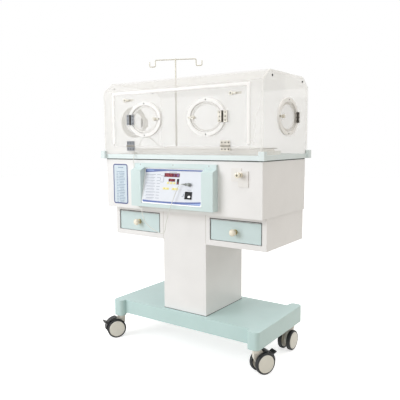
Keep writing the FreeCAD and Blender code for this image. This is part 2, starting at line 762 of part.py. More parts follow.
def cabinet():
    """Folded-steel cabinet with a louvred rear cover, the damper and the power inlet."""
    outside = box("cabinet_out", ("-cabinet_half", "cabinet_half"), ("-cabinet_front", "cabinet_back"),
                  (CABINET_UNDER, TRAY_UNDER))
    inside = box("cabinet_in", ("cabinet_wall - cabinet_half", "cabinet_half - cabinet_wall"),
                 ("cabinet_wall - cabinet_front", "cabinet_back - cabinet_wall"),
                 (CABINET_FLOOR_TOP, f"{TRAY_UNDER} + 1"))
    margin = "cabinet_window_margin"
    front_hole = box("console_window",
                     (f"console_x - plate_half + {margin}", f"console_x + plate_half - {margin}"),
                     ("-cabinet_front - 1", "cabinet_wall - cabinet_front + 1"),
                     (f"{CABINET_UNDER} + console_low + {margin}",
                      f"{CABINET_UNDER} + console_low + console_tall - flange_tall - {margin}"))
    cover_top = f"({CABINET_UNDER} + cover_low + cover_tall)"
    back_hole = box("service_window", ("cover_lap - cover_half", "cover_half - cover_lap"),
                    ("cabinet_back - cabinet_wall - 1", "cabinet_back + 1"),
                    (f"{CABINET_UNDER} + cover_low + cover_lap", f"{cover_top} - cover_lap"))
    knob_x, knob_z = damper_middle()
    damper_hole = cylinder("damper_hole", "damper_shaft_radius + running_gap", "-cabinet_front - 1",
                           "cabinet_wall - cabinet_front + 1", x=knob_x, y=knob_z, axis="y")
    node(cut("cabinet_sheet", outside, [inside, front_hole, back_hole, damper_hole]), "cabinet_shell")

    plate = box("cover_plate", ("-cover_half", "cover_half"),
                ("cabinet_back", "cabinet_back + cabinet_wall"),
                (f"{CABINET_UNDER} + cover_low", cover_top))
    slots = []
    for column_index, x in enumerate((-3, -2, -1, 0)):
        for row_index in range(6):
            z = f"({CABINET_UNDER} + cover_low + 50 + {row_index} * louvre_pitch)"
            middle = f"({x} * (louvre_long + 12) + 60)"
            slots.append(box(f"louvre_{column_index}_{row_index}",
                             (f"{middle} - louvre_long / 2", f"{middle} + louvre_long / 2"),
                             ("cabinet_back - 1", "cabinet_back + cabinet_wall + 1"),
                             (z, f"{z} + louvre_tall")))
    inlet_x = "(cover_half - inlet_inset)"
    inlet_z = f"({CABINET_UNDER} + cover_low + inlet_lift)"
    slots.append(box("inlet_hole", (f"{inlet_x} - inlet_wide / 2", f"{inlet_x} + inlet_wide / 2"),
                     ("cabinet_back - 1", "cabinet_back + cabinet_wall + 1"),
                     (f"{inlet_z} - inlet_tall / 2", f"{inlet_z} + inlet_tall / 2")))
    node(cut("cover_with_louvres", plate, slots), "rear_cover")

    back = "(cabinet_back + cabinet_wall)"
    body = box("inlet_body", (f"{inlet_x} - inlet_wide / 2 + 0.5", f"{inlet_x} + inlet_wide / 2 - 0.5"),
               (f"{back} - inlet_deep", f"{back}"),
               (f"{inlet_z} - inlet_tall / 2 + 0.5", f"{inlet_z} + inlet_tall / 2 - 0.5"))
    flange = box("inlet_flange",
                 (f"{inlet_x} - inlet_wide / 2 - inlet_flange", f"{inlet_x} + inlet_wide / 2 + inlet_flange"),
                 (back, f"{back} + 3"),
                 (f"{inlet_z} - inlet_tall / 2 - 3", f"{inlet_z} + inlet_tall / 2 + 3"))
    well = box("inlet_well", (f"{inlet_x} - inlet_wide / 2 + 12", f"{inlet_x} + inlet_wide / 2 - 12"),
               (f"{back} + 4 - inlet_deep", f"{back} + 4"),
               (f"{inlet_z} - inlet_tall / 2 + 5", f"{inlet_z} + inlet_tall / 2 - 5"))
    pins = []
    for index, (dx, dz) in enumerate(((-7, -3), (7, -3), (0, 4))):
        pins.append(box(f"inlet_pin_{index}", (f"{inlet_x} + {dx} - 1", f"{inlet_x} + {dx} + 1"),
                        (f"{back} - inlet_deep + 2", f"{back} - 6"),
                        (f"{inlet_z} + {dz} - 2", f"{inlet_z} + {dz} + 2")))
    shell = cut("inlet_shell", fuse("inlet_block", [body, flange]), [well])
    node(fuse("inlet", [shell] + pins), "power_inlet")


def damper_middle():
    """Middle of the damper knob, across and up."""
    return "(damper_x + damper_step_x / 2 + 5)", f"({TRAY_UNDER} - damper_drop)"


def damper():
    """Two stepped plates and the humidity knob on the cabinet's front."""
    knob_x, knob_z = damper_middle()
    upper = box("damper_upper", ("damper_x - damper_wide / 2", "damper_x + damper_wide / 2"),
                ("-cabinet_front - damper_plate", "-cabinet_front"),
                (f"{knob_z} + 29 - damper_tall", f"{knob_z} + 29"))
    low_x = "(damper_x + damper_step_x)"
    lower = box("damper_lower", (f"{low_x} - damper_wide / 2", f"{low_x} + damper_wide / 2"),
                ("-cabinet_front - 1.5 * damper_plate", "-cabinet_front"),
                (f"{knob_z} + 29 - damper_tall - damper_step_z", f"{knob_z} + 29 - damper_step_z / 2"))
    hole = cylinder("damper_plate_hole", "damper_shaft_radius + running_gap",
                    "-cabinet_front - 3 * damper_plate", "-cabinet_front + 1",
                    x=knob_x, y=knob_z, axis="y")
    node(cut("damper_plates", fuse("damper_pair", [upper, lower]), [hole]), "damper_plate")
    face = "(-cabinet_front - 1.5 * damper_plate - disc_gap)"
    shaft = cylinder("damper_shaft", "damper_shaft_radius", face,
                     "cabinet_wall - cabinet_front + 8", x=knob_x, y=knob_z, axis="y")
    skirt = cylinder("damper_skirt", "damper_knob_radius * 0.85", f"{face} - damper_knob_reach / 5", face,
                     x=knob_x, y=knob_z, axis="y")
    waist = cylinder("damper_waist", "damper_knob_radius * 0.55", f"{face} - damper_knob_reach * 0.8", face,
                     x=knob_x, y=knob_z, axis="y")
    grip = cylinder("damper_grip", "damper_knob_radius", f"{face} - damper_knob_reach",
                    f"{face} - damper_knob_reach * 0.6", x=knob_x, y=knob_z, axis="y")
    nut = cylinder("damper_nut", "damper_shaft_radius + 4", "cabinet_wall - cabinet_front + disc_gap",
                   "cabinet_wall - cabinet_front + 5", x=knob_x, y=knob_z, axis="y")
    node(fuse("damper_turn", [shaft, skirt, waist, grip, nut]), "damper_knob")


# The sloped plate runs from its front foot back to the cabinet's face
PLATE_FOOT_Y = "(-cabinet_front - console_deep + plate_inset)"
PLATE_FOOT_Z = f"({CABINET_UNDER} + console_low + console_bottom_strip)"
PLATE_UP = "(console_tall - console_bottom_strip - flange_tall)"
PLATE_SLOPE = "tan(plate_tilt * 1 deg)"


def console():
    """Sloping control console with its plate, displays, keys, switch and sensor socket."""
    low = f"({CABINET_UNDER} + console_low)"
    top = f"({low} + console_tall)"
    face = "(-cabinet_front - console_deep)"
    flange = "(-cabinet_front - flange_deep)"
    block = prism("console_block", "YZ", [
        ("-cabinet_front", low), (face, low), (face, f"{top} - flange_tall - flange_slant"),
        (flange, f"{top} - flange_tall"), (flange, top), ("-cabinet_front", top),
    ], "console_x - console_half", "console_x + console_half")
    foot_back = f"({PLATE_FOOT_Y} + plate_thick)"
    head_back = f"({foot_back} + {PLATE_UP} * {PLATE_SLOPE})"
    head_z = f"({PLATE_FOOT_Z} + {PLATE_UP})"
    recess = prism("console_recess", "YZ", [
        (f"{face} - 1", PLATE_FOOT_Z), (foot_back, PLATE_FOOT_Z), (head_back, head_z),
        (f"{face} - 1", head_z),
    ], "console_x - plate_half", "console_x + plate_half")
    window = box("console_through", ("console_x - plate_half + ledge", "console_x + plate_half - ledge"),
                 (f"{face}", "-cabinet_front + 1"),
                 (f"{PLATE_FOOT_Z} + ledge", f"{head_z} - ledge"))
    node(cut("console_frame", block, [recess, window]), "console_housing")

    gap = "plate_gap"
    foot = f"({PLATE_FOOT_Z} + {gap})"
    head = f"({head_z} - {gap})"
    plate = prism("plate_sheet", "YZ", [
        (f"{PLATE_FOOT_Y} + {gap} * {PLATE_SLOPE}", foot),
        (f"{foot_back} + {gap} * {PLATE_SLOPE}", foot),
        (f"{head_back} - {gap} * {PLATE_SLOPE}", head),
        (f"{head_back} - {gap} * {PLATE_SLOPE} - plate_thick", head),
    ], f"console_x - plate_half + {gap}", f"console_x + plate_half - {gap}")
    mouth_x = "(rocker_wide / 2 + rocker_gap)"
    mouth_y = "(rocker_tall / 2 + rocker_gap)"
    rocker_hole = on_plate(box("rocker_hole",
                               (f"-{mouth_x} - rocker_sleeve", f"{mouth_x} + rocker_sleeve"),
                               (f"-{mouth_y} - rocker_sleeve", f"{mouth_y} + rocker_sleeve"),
                               ("-20", "20")), "rocker_x", "rocker_up")
    holed = cut("plate_holed", plate, [rocker_hole])
    rocker_rim = box("rocker_rim", (f"-{mouth_x} - rocker_frame", f"{mouth_x} + rocker_frame"),
                     (f"-{mouth_y} - rocker_frame", f"{mouth_y} + rocker_frame"),
                     ("0", "rocker_frame_proud"))
    sleeve = box("rocker_sleeve_out", (f"-{mouth_x} - rocker_sleeve", f"{mouth_x} + rocker_sleeve"),
                 (f"-{mouth_y} - rocker_sleeve", f"{mouth_y} + rocker_sleeve"),
                 ("-rocker_sleeve_deep", "0"))
    mouth = box("rocker_mouth", (f"-{mouth_x}", mouth_x), (f"-{mouth_y}", mouth_y), ("-20", "20"))
    pin_bore = cylinder("rocker_pin_bore", "rocker_pin_radius + running_gap", f"-{mouth_x} - 1",
                        f"{mouth_x} + 1", y="-rocker_deep / 2", axis="x")
    ring = cut("rocker_ring", fuse("rocker_ring_blank", [rocker_rim, sleeve]), [mouth, pin_bore])
    frame = on_plate(ring, "rocker_x", "rocker_up")
    socket_ring = cylinder("socket_ring", "socket_radius", "0", "socket_tall")
    socket = on_plate(socket_ring, "socket_x", "socket_up")
    node(group("plate_set", [holed, frame, socket]), "console_plate")

    pieces = [raised("window_main", "window_x", "window_up", "window_wide", "window_tall"),
              raised("window_small", "small_window_x", "small_window_up", "small_window_wide",
                     "small_window_tall"),
              raised("light_bar", "bar_x", "bar_up", "bar_wide", "bar_tall")]
    for index in range(3):
        pieces.append(raised(f"key_{index}", f"key_row_x + {index} * key_pitch", "key_row_up",
                             "key_wide", "key_tall"))
    for index in range(2):
        pieces.append(raised(f"long_key_{index}", f"long_key_x - {index} * long_key_pitch",
                             "long_key_up", "long_key_wide", "long_key_tall"))
    node(group("display_set", pieces), "console_display")

    pin = cylinder("rocker_pin", "rocker_pin_radius", f"0.5 - {mouth_x} - 1", f"{mouth_x} + 1 - 0.5",
                   y="-rocker_deep / 2", axis="x")
    cap = prism("rocker_cap", "YZ", [
        ("-rocker_tall / 2 + 2", "-rocker_deep"), ("rocker_tall / 2 - 2", "-rocker_deep"),
        ("rocker_tall / 2 - 2", "rocker_crown / 2"), ("0", "0.6 * rocker_crown"),
        ("2 - rocker_tall / 2", "rocker_crown"),
    ], "-rocker_wide / 2 + 0.3", "rocker_wide / 2 - 0.3")
    rocker = fuse("rocker", [cap, pin])
    node(rocker, "rocker_switch", *plate_point("rocker_x", "rocker_up"), turn=PLATE_TURN)
    bind(rocker, "Placement.Rotation.Angle", "(90 - plate_tilt) * 1 deg")


PLATE_TURN = Rotation(Vector(1, 0, 0), 78)


def plate_point(x, up):
    """Point on the plate's face: across, and up the slope from its foot."""
    slope = f"({up}) * sin(plate_tilt * 1 deg)"
    rise = f"({up}) * cos(plate_tilt * 1 deg)"
    return x, f"{PLATE_FOOT_Y} + {slope}", f"{PLATE_FOOT_Z} + {rise}"


def on_plate(thing, x, up):
    """Stand a piece, built flat about its own origin, on the sloped plate."""
    holder = group(thing.Name + "_placed", [thing])
    holder.Placement = Placement(Vector(), PLATE_TURN)
    at(holder, *plate_point(x, up))
    bind(holder, "Placement.Rotation.Angle", "(90 - plate_tilt) * 1 deg")
    return holder


def raised(name, x, up, wide, tall):
    """Thin raised window or key on the plate."""
    tile = box(name, (f"-{wide} / 2", f"{wide} / 2"), (f"-{tall} / 2", f"{tall} / 2"), ("0", "relief"))
    return on_plate(tile, x, up)


def rounded_path(points, bends):
    """Wire of straight runs joined by tangent arcs of the given radii."""
    edges = []
    start = points[0]
    for before, corner, after, radius in zip(points, points[1:], points[2:], bends):
        back = (before - corner).normalize()
        ahead = (after - corner).normalize()
        half_turn = (math.pi - back.getAngle(ahead)) / 2
        reach = radius * math.tan(half_turn)
        arc_start = corner + back * reach
        arc_end = corner + ahead * reach
        middle_way = (back + ahead).normalize()
        centre = corner + middle_way * (radius / math.cos(half_turn))
        arc_middle = centre - middle_way * radius
        edges.append(Part.LineSegment(start, arc_start).toShape())
        edges.append(Part.Arc(arc_start, arc_middle, arc_end).toShape())
        start = arc_end
    edges.append(Part.LineSegment(start, points[-1]).toShape())
    return Part.Wire(edges)


def swept(wire, radius):
    """Round bar along a wire."""
    start = wire.Edges[0]
    section = Part.Wire(Part.Circle(start.valueAt(start.FirstParameter),
                                    start.tangentAt(start.FirstParameter), radius).toShape())
    return wire.makePipeShell([section], True, False)


def bend_radii(points):
    """Largest arc that each corner's two runs allow."""
    radii = []
    for before, corner, after in zip(points, points[1:], points[2:]):
        shorter = min((before - corner).Length, (after - corner).Length)
        half_turn = (math.pi - (before - corner).getAngle(after - corner)) / 2
        radii.append(0.45 * shorter / math.tan(half_turn))
    return radii


def sensor():
    """Skin sensor: plug in the console, cable over the tray, probe on the mattress."""
    barrel_up = "(socket_tall + plug_reach - plug_radius * 0.8)"
    post = cylinder("plug_post", "plug_radius", "socket_tall", barrel_up)
    barrel = cylinder("plug_barrel", "plug_radius * 0.8", "-plug_long", "plug_radius * 0.6",
                      x="0", y=barrel_up, axis="x")
    plug = fuse("plug", [post, barrel])
    node(plug, "sensor_plug", *plate_point("socket_x", "socket_up"), turn=PLATE_TURN)
    bind(plug, "Placement.Rotation.Angle", "(90 - plate_tilt) * 1 deg")

    shift = Vector(number("centre_x"), number("centre_y"), 0)
    points = [Vector(*p) for p in CABLE]
    radii = bend_radii(points)
    wire = rounded_path(points, radii)
    radius = number("cable_radius")
    tube = doc.addObject("Part::Feature", "cable_tube")
    tube.Shape = swept(wire, radius)
    tube.Placement = Placement(shift, Rotation())
    tube.Label = "sensor_cable"
    nodes.append(tube)
    runs = [(b - a).Length for a, b in zip(points, points[1:])]
    expected = math.pi * radius ** 2 * wire.Length
    print(f"cable length {wire.Length:.1f} mm, volume ratio {tube.Shape.Volume / expected:.4f}")
    print("cable runs", [round(r, 1) for r in runs])
    print("cable radii", [round(r, 1) for r in radii])

    end = points[-1]
    way = (end - points[-2]).normalize()
    angle = math.degrees(math.atan2(way.y, way.x))
    disc = cylinder("probe_disc", "probe_radius", "-probe_thick / 2", "probe_thick / 2",
                    x="probe_radius + 4", y="0")
    neck = cylinder("probe_neck", "cable_radius + 0.2", "0", "probe_radius", axis="x")
    probe = fuse("probe", [disc, neck])
    node(probe, "skin_probe", str(end.x), str(end.y), str(end.z), turn=Rotation(Vector(0, 0, 1), angle))


def tray():
    """Tray on the cabinet with corner posts that hold the hood."""
    plug = box("tray_plug", ("tray_plug_inset - cabinet_half", "cabinet_half - tray_plug_inset"),
               ("tray_plug_inset - cabinet_front", "cabinet_back - tray_plug_inset"),
               (TRAY_UNDER, TRAY_FLOOR_TOP))
    rim_low = f"({TRAY_UNDER} + tray_seat)"
    rim = box("rim_out", ("-tray_half", "tray_half"), ("-tray_front", "tray_back"), (rim_low, TRAY_TOP))
    room = box("rim_in", ("rim_wide - tray_half", "tray_half - rim_wide"),
               ("rim_wide - tray_front", "tray_back - rim_wide"), (TRAY_FLOOR_TOP, f"{TRAY_TOP} + 1"))
    posts = []
    post_top = f"({rim_low} + post_tall)"
    for sign, word in ((1, "right"), (-1, "left")):
        for way, place in ((-1, "front"), (1, "back")):
            far = "tray_back" if way > 0 else "tray_front"
            xs = side(sign, "tray_half + post_proud - post_leg", "tray_half + post_proud")
            ys = side(way, f"{far} + post_proud - post_leg", f"{far} + post_proud")
            outer = box(f"post_{word}_{place}", xs, ys, (rim_low, post_top))
            clear = box(f"post_clear_{word}_{place}", side(sign, "0", "tray_half"),
                        side(way, "0", far), (TRAY_TOP, f"{post_top} + 1"))
            posts.append(cut(f"post_angle_{word}_{place}", outer, [clear]))
    slots = []
    for sign, word in ((1, "right"), (-1, "left")):
        xs = side(sign, "air_slot_x - air_slot_wide / 2", "air_slot_x + air_slot_wide / 2")
        slots.append(box("air_slot_" + word, xs, ("-air_slot_long / 2", "air_slot_long / 2"),
                         (f"{TRAY_UNDER} - 1", f"{TRAY_FLOOR_TOP} + 1")))
    ring = cut("rim", rim, [room])
    node(cut("tray_body", fuse("tray_solid", [plug, ring] + posts), slots), "tray")


def bed():
    """Bed tray on four feet, and the mattress in it."""
    mid = HOOD_MID
    xs = ("-bed_half_long", "bed_half_long")
    ys = (f"{mid} - bed_half_deep", f"{mid} + bed_half_deep")
    low = f"({TRAY_FLOOR_TOP} + bed_foot)"
    outside = rounded("bed_out", xs, ys, (low, f"{low} + bed_wall + bed_rim"), "mattress_round")
    inside = rounded("bed_in", ("bed_wall - bed_half_long", "bed_half_long - bed_wall"),
                     (f"{ys[0]} + bed_wall", f"{ys[1]} - bed_wall"),
                     (f"{low} + bed_wall", f"{low} + bed_wall + bed_rim + 1"),
                     "mattress_round - bed_wall")
    feet = []
    for sign, word in ((1, "right"), (-1, "left")):
        for y, place in ((f"{ys[0]} + 40", "front"), (f"{ys[1]} - 40 - bed_foot_size", "back")):
            feet.append(box(f"bed_foot_{word}_{place}",
                            side(sign, "bed_half_long - 40 - bed_foot_size", "bed_half_long - 40"),
                            (y, f"{y} + bed_foot_size"), (TRAY_FLOOR_TOP, f"{low} + 1")))
    node(fuse("bed", [cut("bed_tub", outside, [inside])] + feet), "bed_deck")
    inset = "(bed_wall + mattress_side_gap)"
    bottom = f"({low} + bed_wall + mattress_gap)"
    node(rounded("mattress_pad", (f"{inset} - bed_half_long", f"bed_half_long - {inset}"),
                 (f"{ys[0]} + {inset}", f"{ys[1]} - {inset}"),
                 (bottom, f"{bottom} + mattress_thick"), f"mattress_round - {inset}"), "mattress")


def hood():
    """Clear panels: front with the door opening, bent canopy with the back, two ends."""
    inner = f"({HOOD_HALF} - hood_wall)"
    front = f"(-{HOOD_FRONT})"
    sheet_front = box("front_sheet", (f"-{inner}", inner), (front, f"{front} + hood_wall"),
                      (TRAY_TOP, HOOD_BEND))
    door_hole = box("door_hole", ("-door_half - door_gap", "door_half + door_gap"),
                    (f"{front} - 1", f"{front} + hood_wall + 1"),
                    (f"{DOOR_UNDER} - door_floor_gap", f"{DOOR_TOP} + door_gap"))
    notch = box("cable_notch", ("notch_x - notch_wide / 2", "notch_x + notch_wide / 2"),
                (f"{front} - 1", f"{front} + hood_wall + 1"), (f"{TRAY_TOP} - 1", f"{TRAY_TOP} + notch_tall"))
    node(cut("front_frame", sheet_front, [door_hole, notch]), "hood_front")

    slant = "(sqrt(hood_rise ^ 2 + hood_run ^ 2) / hood_rise * hood_wall)"
    drop = "hood_wall"
    inner_run = f"({slant} + (hood_rise - {drop}) * hood_run / hood_rise)"
    bend_drop = f"(({slant} - hood_wall) * hood_rise / hood_run)"
    back = HOOD_BACK
    canopy = prism("canopy", "YZ", [
        (front, HOOD_BEND), (f"{front} + hood_run", HOOD_ROOF), (f"{back} - hood_run", HOOD_ROOF),
        (back, HOOD_BEND), (back, TRAY_TOP), (f"{back} - hood_wall", TRAY_TOP),
        (f"{back} - hood_wall", f"{HOOD_BEND} - {bend_drop}"),
        (f"{back} - {inner_run}", f"{HOOD_ROOF} - {drop}"),
        (f"{front} + {inner_run}", f"{HOOD_ROOF} - {drop}"), (f"{front} + {slant}", HOOD_BEND),
    ], f"-{inner}", inner)
    node(canopy, "hood_canopy")

    for sign, word in ((1, "right"), (-1, "left")):
        xs = side(sign, inner, HOOD_HALF)
        panel = prism("end_sheet_" + word, "YZ", [
            (front, TRAY_TOP), (back, TRAY_TOP), (back, HOOD_BEND), (f"{back} - hood_run", HOOD_ROOF),
            (f"{front} + hood_run", HOOD_ROOF), (front, HOOD_BEND),
        ], xs[0], xs[1])
        hole = oval("end_hole_" + word, "port_long", "port_high", "-20", "20")
        placed = group("end_hole_placed_" + word, [hole])
        placed.Placement = Placement(Vector(), FACING_RIGHT)
        at(placed, f"{sign} * {HOOD_HALF}", HOOD_MID, PORT_LEVEL)
        node(cut("end_panel_" + word, panel, [placed]), "hood_end_" + word)


def leaf(name, sign, fixed):
    """Hinge leaf on a face at height 0, its axis along Y; a fixed leaf holds the pin."""
    start, end = side(sign, "leaf_start", "leaf_long")
    plate = box(name + "_plate", (start, end), ("-hinge_half", "hinge_half"), ("0", "leaf_thick"))
    neck_x = side(sign, "0", "leaf_start + 0.5")
    neck_z = ("knuckle_gap", "leaf_thick")
    if fixed:
        spans = [("knuckle_half + knuckle_gap", "hinge_half"), ("-hinge_half", "-knuckle_half - knuckle_gap")]
    else:
        spans = [("-knuckle_half", "knuckle_half")]
    pieces = [plate]
    for index, span in enumerate(spans):
        pieces.append(cylinder(f"{name}_knuckle_{index}", "barrel_radius", span[0], span[1],
                               y="barrel_lift", axis="y"))
        pieces.append(box(f"{name}_neck_{index}", neck_x, span, neck_z))
    if fixed:
        pieces.append(cylinder(name + "_pin", "pin_radius", "-hinge_half", "hinge_half",
                               y="barrel_lift", axis="y"))
        return fuse(name, pieces)
    bore = cylinder(name + "_bore", "pin_radius + running_gap", "-hinge_half", "hinge_half",
                    y="barrel_lift", axis="y")
    return cut(name, fuse(name + "_body", pieces), [bore])


def placed_leaf(name, sign, fixed, turn, x, y, z):
    """Hinge leaf turned and moved into the stand's frame."""
    holder = group(name + "_placed", [leaf(name, sign, fixed)])
    holder.Placement = Placement(Vector(), turn)
    return at(holder, x, y, z)


def port_collar(name, sign):
    """Oval collar with its hinge pad, and the soft gasket inside it."""
    inner_long = "(port_long + disc_wide + collar_gap)"
    inner_high = "(port_high + disc_wide + collar_gap)"
    outside = oval(name + "_out", f"{inner_long} + collar_wide", f"{inner_high} + collar_wide",
                   "0", "collar_deep")
    pad = box(name + "_pad", side(sign, "port_hinge_out + leaf_start", "port_hinge_out + leaf_long"),
              ("-hinge_half", "hinge_half"), ("0", "collar_deep"))
    inside = oval(name + "_in", inner_long, inner_high, "-1", "collar_deep + 1")
    ring = cut(name + "_ring", fuse(name + "_blank", [outside, pad]), [inside])
    soft_out = oval(name + "_soft_out", "port_long + gasket_wide", "port_high + gasket_wide",
                    "0", "gasket_thick")
    soft_in = oval(name + "_soft_in", "port_long", "port_high", "-1", "gasket_thick + 1")
    gasket = cut(name + "_gasket", soft_out, [soft_in])
    return [ring, gasket]


def port_disc(name, sign):
    """Clear oval door of a hand port with its moving hinge leaf."""
    low = "(gasket_thick + disc_gap)"
    disc = oval(name + "_disc", "port_long + disc_wide", "port_high + disc_wide", low, "collar_deep")
    bore = cylinder(name + "_bore", "latch_shaft_radius + running_gap", "0", "collar_deep + 1",
                    x=f"{-sign} * port_latch_out", y="0")
    moving = group(name + "_leaf_placed", [leaf(name + "_leaf", -sign, False)])
    at(moving, f"{sign} * port_hinge_out", "0", "collar_deep")
    return group(name, [cut(name + "_door", disc, [bore]), moving])


def port_latch(name, sign):
    """Turn latch of a hand port, built about its own shaft."""
    face = "(collar_deep + disc_gap)"
    shaft = cylinder(name + "_shaft", "latch_shaft_radius", "-1.5", face)
    head = cylinder(name + "_head", "latch_shaft_radius + 2", "-1.5", "gasket_thick")
    knob = cylinder(name + "_knob", "port_knob_radius", face, f"{face} + port_knob_reach")
    tongue = box(name + "_tongue", side(-sign, "0", "tongue_long"),
                 ("-tongue_wide / 2", "tongue_wide / 2"), (face, f"{face} + tongue_thick"))
    return fuse(name, [shaft, head, knob, tongue])


def door_latch(name):
    """Turn latch of the front door: lever outside, cam behind the panel."""
    head = cylinder(name + "_head", "latch_head_radius", "disc_gap", "lever_thick + 3")
    lever = box(name + "_lever", ("0", "lever_long"), ("-lever_wide / 2", "lever_wide / 2"),
                ("disc_gap", "lever_thick"))
    back = "(-hood_wall - disc_gap)"
    shaft = cylinder(name + "_shaft", "latch_shaft_radius", back, "disc_gap + 1")
    cam = box(name + "_cam", ("-5", "cam_long"), ("-5", "5"), (f"{back} - cam_thick", back))
    return fuse(name, [head, lever, shaft, cam])


def doors():
    """Front door with its two hand ports, the two end ports, and all their hinges."""
    front = f"(-{HOOD_FRONT})"
    panel = box("door_sheet", ("-door_half", "door_half"), (front, f"{front} + hood_wall"),
                (DOOR_UNDER, DOOR_TOP))
    holes = []
    for sign, word in ((1, "right"), (-1, "left")):
        hole = group("door_port_hole_" + word,
                     [oval("door_oval_" + word, "port_long", "port_high", "-20", "20")])
        hole.Placement = Placement(Vector(), FACING_FRONT)
        holes.append(at(hole, f"{sign} * port_x", front, PORT_LEVEL))
        holes.append(cylinder("door_latch_hole_" + word, "latch_shaft_radius + running_gap",
                              f"{front} - 1", f"{front} + hood_wall + 1",
                              x=f"{sign} * door_latch_x", y=f"{DOOR_TOP} - door_latch_drop", axis="y"))
    node(cut("door_panel", panel, holes), "front_door")

    # Place of each hand port: side of its hinge, the way it faces, and its middle
    ports = {
        "front_right": (1, FACING_FRONT, ("port_x", front, PORT_LEVEL)),
        "front_left": (-1, FACING_FRONT, ("-port_x", front, PORT_LEVEL)),
        "end_right": (1, FACING_RIGHT, (HOOD_HALF, HOOD_MID, PORT_LEVEL)),
        "end_left": (-1, FACING_LEFT, (f"-{HOOD_HALF}", HOOD_MID, PORT_LEVEL)),
    }
    collars = {"front": [], "end": []}
    fixed_leaves = {"front": [], "end": []}
    for key, (sign, turn, middle) in ports.items():
        place = key.split("_")[0]
        holder = group("collar_placed_" + key, port_collar("collar_" + key, sign))
        holder.Placement = Placement(Vector(), turn)
        collars[place].append(at(holder, *middle))
        hinge_set = leaf("port_fixed_" + key, sign, True)
        at(hinge_set, f"{sign} * port_hinge_out", "0", "collar_deep")
        leaf_holder = group("port_fixed_placed_" + key, [hinge_set])
        leaf_holder.Placement = Placement(Vector(), turn)
        fixed_leaves[place].append(at(leaf_holder, *middle))
        node(port_disc("port_" + key, sign), "port_door_" + key, *middle, turn=turn)
        latch_out = f"{-sign} * port_latch_out"
        if place == "front":
            latch_at = (f"{middle[0]} + {latch_out}", middle[1], middle[2])
        else:
            latch_at = (middle[0], f"{middle[1]} + {sign} * {latch_out}", middle[2])
        node(port_latch("port_latch_" + key, sign), "port_latch_turn_" + key, *latch_at, turn=turn)
    node(group("collars_front", collars["front"]), "port_collars_front")
    node(group("collars_end", collars["end"]), "port_collars_end")

    across = Rotation(Vector(0, 0, -1), Vector(1, 0, 0), Vector(0, -1, 0), "XYZ")
    still = []
    moving = []
    for sign, word in ((1, "right"), (-1, "left")):
        spot = (f"{sign} * hinge_x", front, f"{DOOR_UNDER} - door_floor_gap / 2")
        still.append(placed_leaf("sill_leaf_" + word, 1, True, across, *spot))
        moving.append(placed_leaf("door_leaf_" + word, -1, False, across, *spot))
    node(group("still_leaves", still + fixed_leaves["end"]), "hood_hinge_leaves")
    node(group("moving_leaves", moving + fixed_leaves["front"]), "door_hinge_leaves")

    for sign, word in ((1, "right"), (-1, "left")):
        node(door_latch("door_latch_" + word), "door_latch_turn_" + word,
             f"{sign} * door_latch_x", front, f"{DOOR_TOP} - door_latch_drop", turn=FACING_FRONT)


def drip_pole():
    """Clamped tube on the cabinet's back, and the sliding rod with its hooked crossbar."""
    low = f"({CABINET_UNDER} + pole_tube_low)"
    top = f"({CABINET_UNDER} + pole_tube_top)"
    outside = cylinder("tube_out", "tube_radius", low, top, x="pole_x", y="pole_y")
    collar = cylinder("tube_collar", "pole_collar_radius", f"{top} - pole_collar_tall", f"{top} + 2",
                      x="pole_x", y="pole_y")
    brackets = []
    for index in range(2):
        z = f"({low} + 18 + {index} * bracket_rise)"
        brackets.append(box(f"bracket_{index}", ("pole_x - bracket_half", "pole_x + bracket_half"),
                            ("cabinet_back", "pole_y + tube_radius + 4"), (z, f"{z} + bracket_tall")))
    bore = cylinder("tube_bore", "rod_radius + running_gap", f"{low} - 1", f"{top} + 3",
                    x="pole_x", y="pole_y")
    node(cut("pole_tube_bored", fuse("pole_tube_body", [outside, collar] + brackets), [bore]), "pole_tube")

    rod_top = number("wheel_dia") + number("fork_over_wheel") + number("base_tall")
    rod_top += number("column_tall") + number("rod_top")
    rod_low = rod_top - number("rod_top") + number("rod_low")
    rod = Part.makeCylinder(number("rod_radius"), rod_top - rod_low, Vector(0, 0, rod_low))
    half = number("bar_half")
    drop = number("hook_drop")
    wide = number("hook_wide")
    lip = number("hook_lip")
    bend = number("hook_bend")
    level = rod_top - number("rod_cap") - number("bar_radius")
    line = [(-half - wide, 0, level - drop + lip), (-half - wide, 0, level - drop), (-half, 0, level - drop),
            (-half, 0, level), (half, 0, level), (half, 0, level - drop),
            (half + wide, 0, level - drop), (half + wide, 0, level - drop + lip)]
    wire = rounded_path([Vector(*p) for p in line], [bend] * (len(line) - 2))
    bar = swept(wire, number("bar_radius"))
    pole = doc.addObject("Part::Feature", "pole_rod")
    pole.Shape = rod.fuse(bar)
    pole.Placement = Placement(Vector(number("centre_x") + number("pole_x"),
                                      number("centre_y") + number("pole_y"), 0),
                               Rotation(Vector(0, 0, 1), number("bar_turn")))
    pole.Label = "iv_pole"
    nodes.append(pole)


